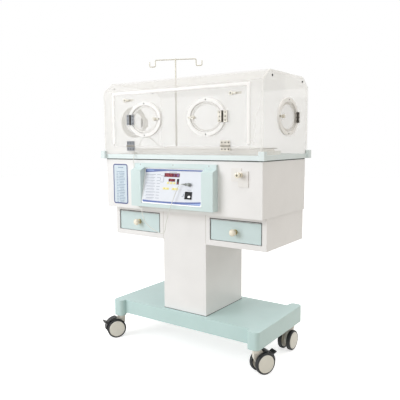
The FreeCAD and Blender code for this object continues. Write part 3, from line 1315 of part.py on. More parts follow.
def air_system():
    """Fan, heater, water tank and control board inside the cabinet."""
    floor = CABINET_FLOOR_TOP
    foot = box("motor_foot", ("fan_x - motor_foot", "fan_x + motor_foot"),
               ("fan_y - motor_foot", "fan_y + motor_foot"), (floor, f"{floor} + motor_foot_thick"))
    can = cylinder("motor_can", "motor_radius", floor, f"{floor} + motor_tall", x="fan_x", y="fan_y")
    shaft = cylinder("motor_shaft", "shaft_radius", floor, f"{floor} + motor_tall + shaft_long",
                     x="fan_x", y="fan_y")
    node(fuse("motor", [foot, can, shaft]), "fan_motor")

    low = f"({floor} + motor_tall + impeller_gap)"
    disc = cylinder("impeller_disc", "impeller_radius", low, f"{low} + impeller_plate")
    hub = cylinder("impeller_hub", "impeller_hub_radius", low, f"{low} + blade_tall")
    blades = []
    for index in range(8):
        blade = doc.addObject("Part::Box", f"blade_{index}")
        bind(blade, "Length", "impeller_radius - impeller_hub_radius")
        bind(blade, "Width", "blade_thick")
        bind(blade, "Height", "blade_tall")
        turn = Rotation(Vector(0, 0, 1), 45 * index)
        blade.Placement = Placement(Vector(), turn)
        way = f"(impeller_hub_radius - 1)"
        at(blade, f"{way} * cos({45 * index} * 1 deg)", f"{way} * sin({45 * index} * 1 deg)", low)
        blades.append(blade)
    bore = cylinder("impeller_bore", "shaft_radius + running_gap", f"{low} - 1", f"{low} + blade_tall + 1")
    wheel = cut("impeller", fuse("impeller_body", [disc, hub] + blades), [bore])
    node(wheel, "fan_impeller", "fan_x", "fan_y", "0")

    ring = doc.addObject("Part::Torus", "heater_ring")
    bind(ring, "Radius1", "heater_radius")
    bind(ring, "Radius2", "heater_rod_radius")
    at(ring, "fan_x", "fan_y", f"{floor} + heater_lift")
    legs = []
    for index, (dx, dy) in enumerate(((1, 0), (-1, 0), (0, 1), (0, -1))):
        legs.append(cylinder(f"heater_leg_{index}", "heater_leg_radius", floor, f"{floor} + heater_lift",
                             x=f"fan_x + {dx} * heater_radius", y=f"fan_y + {dy} * heater_radius"))
    node(fuse("heater_coil", [ring] + legs), "heater")

    tank_low = "(cabinet_wall + tank_end_gap - cabinet_half)"
    tank_high = f"({tank_low} + 2 * tank_half_long)"
    outside = box("tank_out", (tank_low, tank_high),
                  ("-tank_half_deep", "tank_half_deep"), (floor, f"{floor} + tank_tall"))
    inside = box("tank_in", (f"{tank_low} + tank_wall", f"{tank_high} - tank_wall"),
                 ("tank_wall - tank_half_deep", "tank_half_deep - tank_wall"),
                 (f"{floor} + tank_wall", f"{floor} + tank_tall + 1"))
    node(cut("tank", outside, [inside]), "water_tank")

    wall = "(cabinet_wall - cabinet_front)"
    middle = f"({CABINET_UNDER} + board_lift)"
    sheet_y = f"({wall} + board_stand)"
    plate = box("board_sheet", ("console_x - board_half_long", "console_x + board_half_long"),
                (sheet_y, f"{sheet_y} + board_thick"),
                (f"{middle} - board_half_tall", f"{middle} + board_half_tall"))
    chips = []
    for index, (dx, dz) in enumerate(((-70, 10), (-20, -12), (40, 8), (85, -15))):
        chips.append(box(f"chip_{index}", (f"console_x + {dx} - chip_half", f"console_x + {dx} + chip_half"),
                         (f"{sheet_y} + board_thick", f"{sheet_y} + board_thick + chip_tall"),
                         (f"{middle} + {dz} - chip_half", f"{middle} + {dz} + chip_half")))
    arms = []
    for sign, word in ((1, "right"), (-1, "left")):
        xs = side(sign, "board_half_long - 10", "plate_half - cabinet_window_margin + 14")
        arms.append(box("board_arm_" + word, (f"console_x + {xs[0]}", f"console_x + {xs[1]}"),
                        (sheet_y, f"{sheet_y} + board_thick"), (f"{middle} - 12", f"{middle} + 12")))
        arms.append(cylinder("board_post_" + word, "board_post_radius", wall, sheet_y,
                             x=f"console_x + {sign} * (plate_half - cabinet_window_margin + 7)",
                             y=middle, axis="y"))
    node(fuse("board", [plate] + chips + arms), "control_board")


casters()
base()
column()
drawers()
cabinet()
damper()
console()
sensor()
tray()
bed()
hood()
doors()
drip_pole()
air_system()
doc.recompute()

for thing in doc.Objects:
    if "Invalid" in thing.State or "Error" in thing.State:
        raise RuntimeError(f"{thing.Name} failed: {thing.State}")
for thing in nodes:
    if thing.Shape.isNull() or not thing.Shape.isValid() or not thing.Shape.Solids:
        raise RuntimeError(f"{thing.Label} has no valid shape")

os.makedirs("parts", exist_ok=True)
whole = FreeCAD.BoundBox()
for thing in nodes:
    thing.Shape.exportStep(f"parts/{thing.Label}.step")
    whole.add(thing.Shape.BoundBox)
    print(f"{thing.Label}: {len(thing.Shape.Solids)} solids, {thing.Shape.Volume / 1000:.1f} cm3")
print(f"{len(nodes)} nodes, box {whole}")
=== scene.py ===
import math
import bmesh
import bpy
from mathutils import Matrix, Vector


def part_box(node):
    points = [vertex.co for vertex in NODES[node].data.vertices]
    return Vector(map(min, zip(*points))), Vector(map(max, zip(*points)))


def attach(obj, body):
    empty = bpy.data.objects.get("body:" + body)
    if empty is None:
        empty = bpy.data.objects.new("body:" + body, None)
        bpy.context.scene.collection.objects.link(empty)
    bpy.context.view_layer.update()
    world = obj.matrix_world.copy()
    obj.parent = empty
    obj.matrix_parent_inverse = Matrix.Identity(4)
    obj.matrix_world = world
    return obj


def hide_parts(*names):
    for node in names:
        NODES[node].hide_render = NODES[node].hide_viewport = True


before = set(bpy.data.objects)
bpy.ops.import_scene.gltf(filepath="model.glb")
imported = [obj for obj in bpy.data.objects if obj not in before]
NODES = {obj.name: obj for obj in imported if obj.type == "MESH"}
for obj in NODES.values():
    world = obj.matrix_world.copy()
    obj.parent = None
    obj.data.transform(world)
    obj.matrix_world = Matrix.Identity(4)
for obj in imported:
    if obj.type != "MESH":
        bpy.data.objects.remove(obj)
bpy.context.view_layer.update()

# Looks of the infant incubator. Lengths are millimetres measured from the middle of
# the stand on the floor, as in the part's source, and become metres in spot().
MM = 0.001
COLUMN_FRONT = -165
column_low, column_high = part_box("column")
STAND_CENTRE = Vector((round((column_low.x + column_high.x) / 2, 6),
                       round(column_low.y - COLUMN_FRONT * MM, 6), 0.0))


def spot(x, y, z):
    """Place in metres of a point given in millimetres from the stand's middle."""
    return STAND_CENTRE + Vector((x, y, z)) * MM


def side_of(node, corner, axis):
    """Where a node's box has its low or high side along an axis, in millimetres."""
    return round((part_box(node)[corner][axis] - STAND_CENTRE[axis]) / MM, 3)


# Faces that pieces are fixed to, from the frame
X, Y = 0, 1
LOW, HIGH = 0, 1
CABINET_FRONT = side_of("cabinet_shell", LOW, Y)
CABINET_REAR = side_of("rear_cover", HIGH, Y)
HOOD_FRONT = side_of("hood_front", LOW, Y)
HOOD_END = side_of("hood_end_right", HIGH, X)

# Hand ports and hinges, as in the part's source
PORT_ACROSS, PORT_DEEP, PORT_HEIGHT = 180, 3.5, 1151
PORT_HINGE = 89
PORT_BARREL_OUT = 12.8
SILL_HINGE_ACROSS, SILL_HINGE_HEIGHT = 278, 1023.5
SILL_BARREL_OUT = 3.8
BARREL_RADIUS = 3.6

# Camera fitted to the photograph
CAMERA_AT = (1445.5, -2094.4, 1039.3)
CAMERA_TURN, CAMERA_DIP, CAMERA_ROLL = 34.96, 6.566, -0.365
LENS, SENSOR = 45.08, 36.0
SIGHT_LIMIT = 60


def set_camera():
    """Camera at the place and angle that the photograph was taken from."""
    turn, dip, roll = (math.radians(a) for a in (CAMERA_TURN, CAMERA_DIP, CAMERA_ROLL))
    ahead = Vector((-math.sin(turn) * math.cos(dip), math.cos(turn) * math.cos(dip), -math.sin(dip)))
    level = Vector((math.cos(turn), math.sin(turn), 0))
    up = level.cross(ahead)
    right = level * math.cos(roll) + up * math.sin(roll)
    top = right.cross(ahead)
    data = bpy.data.cameras.new("camera")
    data.lens = LENS
    data.sensor_width = SENSOR
    data.clip_end = SIGHT_LIMIT
    camera = bpy.data.objects.new("camera", data)
    bpy.context.collection.objects.link(camera)
    turned = Matrix((right, top, -ahead)).transposed().to_4x4()
    camera.matrix_world = Matrix.Translation(spot(*CAMERA_AT)) @ turned
    bpy.context.scene.camera = camera


# Shader building

# Most of a noise pattern lies between these values
NOISE_LOW, NOISE_HIGH = 0.3, 0.7


def paint(code):
    """Linear colour of an sRGB hex value."""
    parts = [int(code[i:i + 2], 16) / 255 for i in (1, 3, 5)]
    linear = [c / 12.92 if c <= 0.04045 else ((c + 0.055) / 1.055) ** 2.4 for c in parts]
    return (*linear, 1.0)


def add_node(tree, kind, inputs=None, **settings):
    """One node with its settings; an input is a value or another node's output."""
    node = tree.nodes.new(kind)
    for name, value in settings.items():
        setattr(node, name, value)
    for name, value in (inputs or {}).items():
        if isinstance(value, bpy.types.NodeSocket):
            tree.links.new(value, node.inputs[name])
        else:
            node.inputs[name].default_value = value
    return node


def start_material(name, colour, roughness, **sockets):
    """Material with its main shader; sockets are set by name with _ for a space."""
    material = bpy.data.materials.new(name)
    material.use_nodes = True
    tree = material.node_tree
    shader = tree.nodes["Principled BSDF"]
    shader.inputs["Base Color"].default_value = paint(colour)
    shader.inputs["Roughness"].default_value = roughness
    for socket, value in sockets.items():
        shader.inputs[socket.replace("_", " ")].default_value = value
    return material, tree, shader


def place_of(tree, stretch=(1, 1, 1)):
    """Place on the object in metres, stretched along its axes."""
    coords = add_node(tree, "ShaderNodeTexCoord")
    return add_node(tree, "ShaderNodeMapping",
                    {"Vector": coords.outputs["Object"], "Scale": stretch}).outputs["Vector"]


def noise_of(tree, where, patch_mm, detail=2.0):
    """Cloudy pattern with patches about patch_mm wide."""
    return add_node(tree, "ShaderNodeTexNoise",
                    {"Vector": where, "Scale": 1000 / patch_mm, "Detail": detail}).outputs["Fac"]


def spread_noise(tree, noise, low, high):
    """Noise stretched from its usual span to low and high."""
    return add_node(tree, "ShaderNodeMapRange",
                    {"Value": noise, "From Min": NOISE_LOW, "From Max": NOISE_HIGH,
                     "To Min": low, "To Max": high}).outputs["Result"]


def vary_tone(tree, shader, where, colour, spread, patch_mm):
    """Lighter and darker patches of the colour."""
    base = paint(colour)
    noise = noise_of(tree, where, patch_mm, detail=3.0)
    ramp = add_node(tree, "ShaderNodeValToRGB", {"Fac": noise})
    low, high = ramp.color_ramp.elements
    low.position, high.position = NOISE_LOW, NOISE_HIGH
    low.color = (*[c * (1 - spread) for c in base[:3]], 1)
    high.color = (*[min(1, c * (1 + spread)) for c in base[:3]], 1)
    tree.links.new(ramp.outputs["Color"], shader.inputs["Base Color"])


def vary_gloss(tree, shader, where, low, high, patch_mm):
    """Roughness that drifts between two values."""
    rough = spread_noise(tree, noise_of(tree, where, patch_mm), low, high)
    tree.links.new(rough, shader.inputs["Roughness"])


def raise_bumps(tree, shader, height, depth_mm, strength):
    """Relief from a height pattern."""
    bump = add_node(tree, "ShaderNodeBump",
                    {"Height": height, "Strength": strength, "Distance": depth_mm * MM})
    tree.links.new(bump.outputs["Normal"], shader.inputs["Normal"])


def enamel(name, colour):
    """Powder-coated steel: a faint orange peel about 2 mm wide, even satin gloss."""
    low, high = 0.34, 0.44
    material, tree, shader = start_material(name, colour, low, Coat_Weight=0.15, Coat_Roughness=0.25)
    where = place_of(tree)
    vary_tone(tree, shader, where, colour, spread=0.025, patch_mm=160)
    vary_gloss(tree, shader, where, low, high, patch_mm=60)
    raise_bumps(tree, shader, noise_of(tree, where, 2.2), depth_mm=0.05, strength=0.35)
    return material


def moulded(name, colour, gloss=(0.35, 0.5), grain_mm=1.2, spread=0.03, **sockets):
    """Moulded plastic: a fine spark-eroded grain and slightly uneven gloss."""
    material, tree, shader = start_material(name, colour, gloss[0], **sockets)
    where = place_of(tree)
    vary_tone(tree, shader, where, colour, spread, patch_mm=35)
    vary_gloss(tree, shader, where, *gloss, patch_mm=12)
    raise_bumps(tree, shader, noise_of(tree, where, grain_mm), depth_mm=0.04, strength=0.4)
    return material


def metal(name, colour, roughness, along=(1, 1, 1), line_mm=0.8, depth_mm=0.01):
    """Metal with fine drawing lines that run along the shrunken axis."""
    material, tree, shader = start_material(name, colour, roughness, Metallic=1.0)
    where = place_of(tree, along)
    vary_tone(tree, shader, where, colour, spread=0.06, patch_mm=14)
    vary_gloss(tree, shader, where, roughness * 0.8, roughness * 1.3, patch_mm=9)
    raise_bumps(tree, shader, noise_of(tree, where, line_mm), depth_mm, strength=0.4)
    return material


def clear_sheet(name, colour, through, edge_on, roughness=0.06):
    """Cast acrylic: clear face on, milkier where it is seen edge on, with a glossy skin."""
    material, tree, shader = start_material(name, colour, roughness, IOR=1.49, Specular_IOR_Level=0.5)
    where = place_of(tree)
    facing = add_node(tree, "ShaderNodeLayerWeight", {"Blend": 0.35})
    body = add_node(tree, "ShaderNodeMapRange",
                    {"Value": facing.outputs["Facing"], "To Min": through, "To Max": edge_on})
    haze = 0.02
    cloud = spread_noise(tree, noise_of(tree, where, patch_mm=200), -haze, haze)
    alpha = add_node(tree, "ShaderNodeMath", {0: body.outputs["Result"], 1: cloud}, operation="ADD")
    tree.links.new(alpha.outputs["Value"], shader.inputs["Alpha"])
    return material


# Width of a drawn thread, and how far the wave texture turns over one unit, in radians
THREAD_MM = 1.6
WAVE_TURN = 20


def cotton(name, colour):
    """Cotton: a plain weave, drawn coarser than real so that it shows."""
    material, tree, shader = start_material(name, colour, 0.85, Sheen_Weight=0.3, Sheen_Roughness=0.5)
    where = place_of(tree)
    vary_tone(tree, shader, where, colour, spread=0.03, patch_mm=60)
    scale = 2 * math.pi / WAVE_TURN / (THREAD_MM * MM)
    warp, weft = [add_node(tree, "ShaderNodeTexWave", {"Vector": where, "Scale": scale, "Distortion": 0.6},
                           bands_direction=direction).outputs["Fac"] for direction in ("X", "Y")]
    weave = add_node(tree, "ShaderNodeMath", {0: warp, 1: weft}, operation="MULTIPLY")
    raise_bumps(tree, shader, weave.outputs["Value"], depth_mm=0.3, strength=0.4)
    return material


def glow(name, colour):
    """Lit display segment: a soft light in its own colour."""
    material, tree, shader = start_material(name, colour, 0.4, Emission_Strength=0.3)
    shader.inputs["Emission Color"].default_value = paint(colour)
    vary_tone(tree, shader, place_of(tree), colour, spread=0.1, patch_mm=4)
    return material


# Powder coat on sheet steel: an even soft sheen, broken by a faint orange peel
# One mint paint: the base copy darker as painted shade, the other copies paler as painted light
MINT = enamel("mint_powder_coat", "#c1dad9")  # base: cool green grey
MINT_LIT_CONSOLE = enamel("mint_powder_coat_painted_light_console", "#d0e0e0")  # console: paler mint
MINT_LIT_TRAY = enamel("mint_powder_coat_painted_light_tray", "#dfe9ea")  # tray: almost white
MINT_LIT_DRAWERS = enamel("mint_powder_coat_painted_light_drawers", "#cfe0e1")  # drawers: clear mint
WHITE = enamel("white_powder_coat", "#efeded")  # cabinet, column: a quiet white

# Metals: highlights drawn out along the grain
ALONG_TUBE_Y = (1, 0.1, 1)
ALONG_TUBE_Z = (1, 1, 0.1)
ALONG_LEAF = (0.3, 1, 1)
STEEL = metal("mild_steel_tube", "#8d9092", 0.42, ALONG_TUBE_Y)  # frame: dull mid grey
ZINC = metal("zinc_plated_steel", "#b4b6b8", 0.3)  # screws: small cool glints
SATIN = metal("satin_stainless_tube", "#b4b0a4", 0.36, ALONG_TUBE_Z, 1.5, 0.004)  # pole: a soft streak
# One stainless for all hinges; the cool left leaves and the dark barrels are painted reflection
HINGE = metal("brushed_stainless_hinge", "#9a958c", 0.42, ALONG_LEAF, 1.0)  # right leaves: pale, warm
HINGE_LEFT_REFLECTION = metal("stainless_hinge_painted_cool_reflection", "#6c6d6f", 0.42, ALONG_LEAF, 1.0)  # left leaves: dull, cool
SILL_BARREL_REFLECTION = metal("hinge_barrel_painted_reflection", "#827d74", 0.3, ALONG_LEAF, 1.0)  # sill barrels: a soft line
PORT_BARREL_REFLECTION = metal("hinge_barrel_painted_dark_reflection", "#3f3a34", 0.3, ALONG_LEAF, 1.0)  # port barrels: a dark stripe
SCREW_DARK = metal("blackened_screw", "#1b1a19", 0.5)  # hood screws: black dots
# The ferrule's brass is muted to tan, partly painting the shade on the knobs' foot
BRASS_AND_SHADE = metal("brass_ferrule_painted_shade", "#c4b48e", 0.36)  # knob necks: a thin gold ring

# Cast acrylic: what lies inside shows through a faint warm veil
ACRYLIC = clear_sheet("cast_acrylic", "#e4e1dd", 0.17, 0.4, 0.12)  # canopy: a grey roof band
ACRYLIC_DOOR = clear_sheet("cast_acrylic_door", "#e2dfdb", 0.18, 0.4, 0.12)  # door: a shade denser
ACRYLIC_FRAME = clear_sheet("cast_acrylic_frame", "#e6e3df", 0.3, 0.5, 0.12)  # front frame: milkier
# The ends are the same acrylic, made clearer and whiter as painted light on the shaded side
ACRYLIC_LIT_END = clear_sheet("cast_acrylic_painted_light_ends", "#f8f6f2", 0.1, 0.26)  # ends: clearest
ACRYLIC_DISC = clear_sheet("cast_acrylic_disc", "#e4e1dd", 0.16, 0.38, 0.12)  # port discs: faint
ACRYLIC_EDGE = clear_sheet("sawn_acrylic_edge", "#f3f1ec", 0.3, 0.55, 0.3)  # edges: milky lines

# Pale mouldings: soft, slightly uneven gloss
COLLAR = moulded("white_nylon_collar", "#f0eeed", (0.38, 0.5))  # front rings: matt white
# The end rings are the same nylon, made whiter as painted light on the shaded sides
COLLAR_LIT_END = moulded("white_nylon_collar_painted_light_ends", "#f8f6f4", (0.38, 0.5))  # end rings: whiter
CLEAR_KNOB = moulded("pale_acrylic_knob", "#e4dfd3", (0.14, 0.24), 2.0)  # latches: glassy cream
STRIP = moulded("white_seal_strip", "#f6f4f3", (0.45, 0.6))  # door seal: a flat white line
IVORY = moulded("ivory_phenolic_knob", "#f7eedb", (0.14, 0.24), 3.0, 0.02,
                Coat_Weight=0.5, Coat_Roughness=0.08)  # knobs: warm, with a sharp glint
# The waist's dark olive is partly painted shade under the knob's head; the eye and pointer share it
OLIVE_AND_SHADE = moulded("olive_knob_waist_painted_shade", "#6f6a58", (0.3, 0.4), 2.0)  # humidity knob: dull dark waist
HUB = moulded("ivory_nylon_hub", "#efece3", (0.3, 0.42))  # wheels: flat warm ivory
FORK = moulded("ivory_nylon_fork", "#f1ede4", (0.32, 0.45))  # forks: a lighter ivory
CABLE_SKIN = moulded("pvc_cable_skin", "#dcdcd6")  # cable: a soft grey-white line
PLUG_GREY = moulded("grey_abs_plug", "#8d918e")  # plug: mid grey on the film
PROBE = moulded("probe_pad", "#e9e3d4", (0.4, 0.55))  # skin probe: matt cream
DAMPER = moulded("grey_abs_damper", "#ebe8e6", (0.4, 0.5))  # humidity plates: grey on white
BED = moulded("white_abs_bed", "#f2f0ec", (0.32, 0.42))  # bed, drawer boxes: satin white
# Grey hairlines in the column's seams: painted shade of the gaps
SEAM_SHADE = moulded("painted_seam_shade", "#c4c0b8", (0.5, 0.65))  # column seams: grey hairlines

# Dark plastic and rubber: matt black that keeps its outline
# Dark strips at the drawers' gaps and the column's foot: painted shade
GAP_SHADE = moulded("painted_gap_shade_black", "#3b403f", (0.55, 0.7))  # drawer edges: a charcoal line
TYRE = moulded("black_rubber_tyre", "#121416", (0.5, 0.65), 1.0)  # tyres: black, no shine
PEDAL = moulded("black_nylon_pedal", "#0f1011")  # brake pedals: black, faintly glossy
BLACK = moulded("black_matt_abs", "#08090a", (0.45, 0.6), 2.0, Specular_IOR_Level=0.25)  # switch: deepest
# Dark faces of the tray's foot under the rim: painted shade
UNDER_TRAY_SHADE = moulded("painted_shade_under_tray", "#3c4644", (0.6, 0.75))  # under the tray: a dark line
INLET = moulded("black_inlet", "#151515")  # power inlet: black on white
MOTOR = moulded("grey_painted_iron", "#4d5254", (0.45, 0.6))  # fan motor: rough dark grey
FAN = moulded("grey_nylon_fan", "#5a5e62", (0.4, 0.55))  # fan: plain mid grey
BOARD = moulded("green_circuit_board", "#1e5a3a", (0.3, 0.45))  # board: deep green

# Printed film and card: a smooth sheet whose colours lie flat
FILM = moulded("printed_polyester_film", "#d7dae2", (0.3, 0.38), 1.5, 0.012)  # film: cool near-white
# Also laid on the switch as a painted highlight
BORDER_AND_SWITCH_HIGHLIGHT = moulded("film_border_and_switch_highlight_white", "#fafbfd", (0.3, 0.38), 1.5, 0.01)  # border: whitest
INK_BLUE = moulded("blue_print", "#3d559b", (0.3, 0.38), 1.5, 0.12)  # waves: cloudy strong blue
# The lower wave's pale strip is a painted glint; the upper one is pale print
INK_PALE_AND_GLINT = moulded("pale_blue_print_and_painted_glint", "#8ea6d8", (0.3, 0.38), 1.5, 0.05)  # glints in the waves
INK_GREY = moulded("grey_print", "#a3a8b4", (0.3, 0.4), 1.5, 0.05)  # in place of text: grey bands
INK_FAINT = moulded("faint_print", "#b9bdc8", (0.3, 0.4), 1.5, 0.04)  # fainter bands
INK_OCHRE = moulded("ochre_print", "#b9a656", (0.3, 0.4), 1.5, 0.05)  # key marks: dull ochre
CARD = moulded("laminated_card", "#d3dfe9", (0.25, 0.35), 1.5, 0.02)  # care card: slick pale blue
CARD_INK = moulded("card_print", "#95a9bd", (0.3, 0.4), 1.5, 0.08)  # its bands: greyish blue
CARD_BORDER = moulded("card_border_print", "#3d4a86", (0.3, 0.4), 1.5, 0.05)  # its frame: deep blue
KEY = moulded("yellow_membrane_key", "#e8dc84", (0.3, 0.4), 1.5, 0.05)  # keys: soft yellow

# Display: dark windows with lit segments
LENS_RED = moulded("dark_red_acrylic_window", "#660a1e", (0.3, 0.4), 3.0, 0.15,
                   Specular_IOR_Level=0.15)  # windows: dark wine red
DIGIT = glow("lit_red_segment", "#a8202f")  # numbers: red
VIOLET = glow("lit_violet_segment", "#6d4a86")  # last numbers: violet

# Cloth: matt, with a soft sheen at glancing angles
SHEET = cotton("white_cotton_cover", "#f6f5f2")  # mattress cover: soft warm white
# Its dark brown-grey paints the shade line along the mattress's top edge
PIPING_SHADE_LINE = cotton("piping_painted_shade_line", "#5f594e")  # its sewn edge: a brown-grey line


# Materials on the CAD nodes

def dress(material, *nodes):
    """Give CAD nodes one material."""
    for node in nodes:
        mesh = NODES[node].data
        mesh.materials.clear()
        mesh.materials.append(material)


def dress_where(node, materials, choose):
    """Give a CAD node's faces the material whose number choose(middle, normal) returns."""
    mesh = NODES[node].data
    mesh.materials.clear()
    for material in materials:
        mesh.materials.append(material)
    for face in mesh.polygons:
        middle = (face.center - STAND_CENTRE) / MM
        face.material_index = choose(middle, face.normal)


def inlet_pin(p, n):
    """The pins in the power inlet."""
    return int(p.y < 216 and abs(p.x - 215) < 9 and abs(p.z - 790) < 9)


def tray_foot_shade(p, n):
    """The tray foot's side faces under the rim, darkened as painted shade."""
    return int(p.z < 959.5 and abs(n.z) < 0.5)


def plate_part(p, n):
    """The console plate's switch frame 1 and sensor socket 2."""
    if 70 < p.x < 110 and p.z < 815:
        return 1
    return 2 if 82 < p.x < 102 and p.z > 830 else 0


def display_part(p, n):
    """The display's windows 0, keys 1 and light bar 2."""
    if 14 < p.x < 28 and 835 < p.z < 871:
        return 2
    return 0 if p.z > 856 else 1


def drawer_part(p, n):
    """A drawer's box 0, front 1, knob 2 and ferrule 3."""
    knob_back, ferrule_back, front_back = -168.2, -162.2, -153.9
    if p.y < knob_back:
        return 2
    if p.y < ferrule_back:
        return 3
    return 1 if p.y < front_back else 0


def edge_chooser(node):
    """Sawn edges of a hood panel: faces that look across the sheet."""
    if node.startswith("hood_end"):
        return lambda p, n: int(abs(n.x) < 0.5)
    if node == "hood_canopy":
        return lambda p, n: int(abs(n.x) > 0.5)
    return lambda p, n: int(abs(n.y) < 0.5)


def on_port_barrel(p):
    """Whether a place lies on the barrel of a hand port's hinge."""
    if abs(p.x) < 400:
        across, out = abs(p.x) - PORT_ACROSS - PORT_HINGE, p.y - HOOD_FRONT + PORT_BARREL_OUT
    else:
        across, out = p.y - PORT_DEEP - PORT_HINGE, abs(p.x) - HOOD_END - PORT_BARREL_OUT
    return math.hypot(across, out) < BARREL_RADIUS


def hinge_part(p, n):
    """Right and left hinge leaves 0 and 3, port and sill barrels 1 and 2; 1 to 3 are painted reflection."""
    leaves = 3 if p.x < 0 else 0
    if p.z < 1060:
        off_axis = math.hypot(p.y - HOOD_FRONT + SILL_BARREL_OUT, p.z - SILL_HINGE_HEIGHT)
        return 2 if off_axis < BARREL_RADIUS else leaves
    return 1 if on_port_barrel(p) else leaves


def port_door_chooser(key):
    """A port door's disc 0, edge 1, hinge leaf 2 and barrel 3, whose dark is painted reflection."""
    def front(p, n):
        if on_port_barrel(p):
            return 3
        return 2 if p.y < -238.05 or abs(p.x) > 264.5 else int(abs(n.y) < 0.5)

    def end(p, n):
        if on_port_barrel(p):
            return 3
        return 2 if abs(p.x) > 470.05 or p.y > 88 else int(abs(n.x) < 0.5)

    return front if "front" in key else end


def dress_nodes():
    """Give every CAD node that stays in view its materials."""
    dress(MINT, "base_cover")
    dress(MINT_LIT_CONSOLE, "console_housing")
    dress(WHITE, "column", "drawer_housing_right", "drawer_housing_left", "cabinet_shell", "rear_cover")
    dress(STEEL, "base_frame", "water_tank", "heater")
    dress(FORK, *["caster_fork_" + key for key in CASTERS])
    dress(PEDAL, "brake_pedal_fr", "brake_pedal_fl")
    dress(DAMPER, "damper_plate")
    dress(CLEAR_KNOB, "door_latch_turn_right", "door_latch_turn_left",
          *["port_latch_turn_" + key for key in PORTS])
    dress(SATIN, "pole_tube", "iv_pole")
    dress(BED, "bed_deck")
    dress(PROBE, "skin_probe")
    dress(MOTOR, "fan_motor")
    dress(FAN, "fan_impeller")
    dress(BOARD, "control_board")
    dress(BLACK, "rocker_switch")
    dress(COLLAR, "port_collars_front")
    dress(COLLAR_LIT_END, "port_collars_end")
    dress_where("power_inlet", [INLET, ZINC], inlet_pin)
    dress_where("tray", [MINT_LIT_TRAY, UNDER_TRAY_SHADE], tray_foot_shade)
    dress_where("console_plate", [FILM, BLACK, ZINC], plate_part)
    dress_where("console_display", [LENS_RED, KEY, BLACK], display_part)
    for node in ("drawer_right", "drawer_left"):
        dress_where(node, [BED, MINT_LIT_DRAWERS, IVORY, BRASS_AND_SHADE], drawer_part)
    for node in ("hood_hinge_leaves", "door_hinge_leaves"):
        dress_where(node, [HINGE, PORT_BARREL_REFLECTION, SILL_BARREL_REFLECTION, HINGE_LEFT_REFLECTION], hinge_part)
    sheets = {"hood_front": ACRYLIC_FRAME, "hood_canopy": ACRYLIC, "hood_end_right": ACRYLIC_LIT_END,
              "hood_end_left": ACRYLIC_LIT_END, "front_door": ACRYLIC_DOOR}
    for node, sheet in sheets.items():
        dress_where(node, [sheet, ACRYLIC_EDGE], edge_chooser(node))
    for key in PORTS:
        # Left leaves take the darker, cooler steel as painted reflection
        leaf = HINGE_LEFT_REFLECTION if "left" in key else HINGE
        door_parts = [ACRYLIC_DISC, ACRYLIC_EDGE, leaf, PORT_BARREL_REFLECTION]
        dress_where("port_door_" + key, door_parts, port_door_chooser(key))


# Mesh building

def add_piece(name, mesh, material, body, smooth_angle=35):
    """Finished mesh as an object that rides on a body."""
    mesh.materials.append(material)
    mesh.shade_smooth()
    mesh.set_sharp_from_angle(angle=math.radians(smooth_angle))
    piece = bpy.data.objects.new(name, mesh)
    bpy.context.collection.objects.link(piece)
    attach(piece, body)
    return piece


def finish_mesh(bm, name):
    """Mesh from a bmesh whose faces look outwards."""
    bmesh.ops.recalc_face_normals(bm, faces=bm.faces)
    mesh = bpy.data.meshes.new(name)
    bm.to_mesh(mesh)
    bm.free()
    return mesh


def axes_at(point, across, up, out):
    """Matrix with the given directions as its X, Y and Z."""
    turned = Matrix((across, up, out)).transposed().to_4x4()
    return Matrix.Translation(point) @ turned


def local(axes, origin, u, v, w):
    """Frame at local place u, v, w (mm) of a piece with the given axes."""
    point = origin + (axes[0] * u + axes[1] * v + axes[2] * w) * MM
    return axes_at(point, *axes)


# Directions across, up and out of each face
FRONT = (Vector((1, 0, 0)), Vector((0, 0, 1)), Vector((0, -1, 0)))
RIGHT = (Vector((0, 1, 0)), Vector((0, 0, 1)), Vector((1, 0, 0)))
LEFT = (Vector((0, -1, 0)), Vector((0, 0, 1)), Vector((-1, 0, 0)))
REAR = (Vector((-1, 0, 0)), Vector((0, 0, 1)), Vector((0, 1, 0)))
DOWN_FRONT = (Vector((0, 0, -1)), Vector((1, 0, 0)), Vector((0, -1, 0)))


def lathe(profiles, steps=40):
    """Mesh turned about local Z from lists of (radius, height) in millimetres."""
    bm = bmesh.new()
    for profile, frame_at in profiles:
        rings = []
        for radius, height in profile:
            turns = [2 * math.pi * i / steps for i in range(steps)] if radius else [0.0]
            rings.append([bm.verts.new(frame_at @ Vector((radius * MM * math.cos(turn),
                                                          radius * MM * math.sin(turn), height * MM)))
                          for turn in turns])
        for one, two in zip(rings, rings[1:]):
            for i in range(steps):
                j = (i + 1) % steps
                if len(one) == 1:
                    bm.faces.new((one[0], two[i], two[j]))
                elif len(two) == 1:
                    bm.faces.new((one[i], one[j], two[0]))
                else:
                    bm.faces.new((one[i], one[j], two[j], two[i]))
    return finish_mesh(bm, "turned")


def slabs(outlines, to_point, low, high):
    """Thin prisms from flat outlines; to_point(u, v, lift) gives each corner's place."""
    bm = bmesh.new()
    for outline in outlines:
        under = [bm.verts.new(to_point(u, v, low)) for u, v in outline]
        over = [bm.verts.new(to_point(u, v, high)) for u, v in outline]
        bm.faces.new(under)
        bm.faces.new(over)
        for i in range(len(outline)):
            j = (i + 1) % len(outline)
            bm.faces.new((under[i], under[j], over[j], over[i]))
    return finish_mesh(bm, "slab")


def frame_slab(outer, inner, to_point, low, high):
    """Flat ring between two outlines with the same number of corners."""
    bm = bmesh.new()
    loops = [[bm.verts.new(to_point(u, v, lift)) for u, v in line]
             for line, lift in ((outer, low), (outer, high), (inner, high), (inner, low))]
    count = len(outer)
    for k in range(4):
        one, two = loops[k], loops[(k + 1) % 4]
        for i in range(count):
            j = (i + 1) % count
            bm.faces.new((one[i], one[j], two[j], two[i]))
    return finish_mesh(bm, "ring")


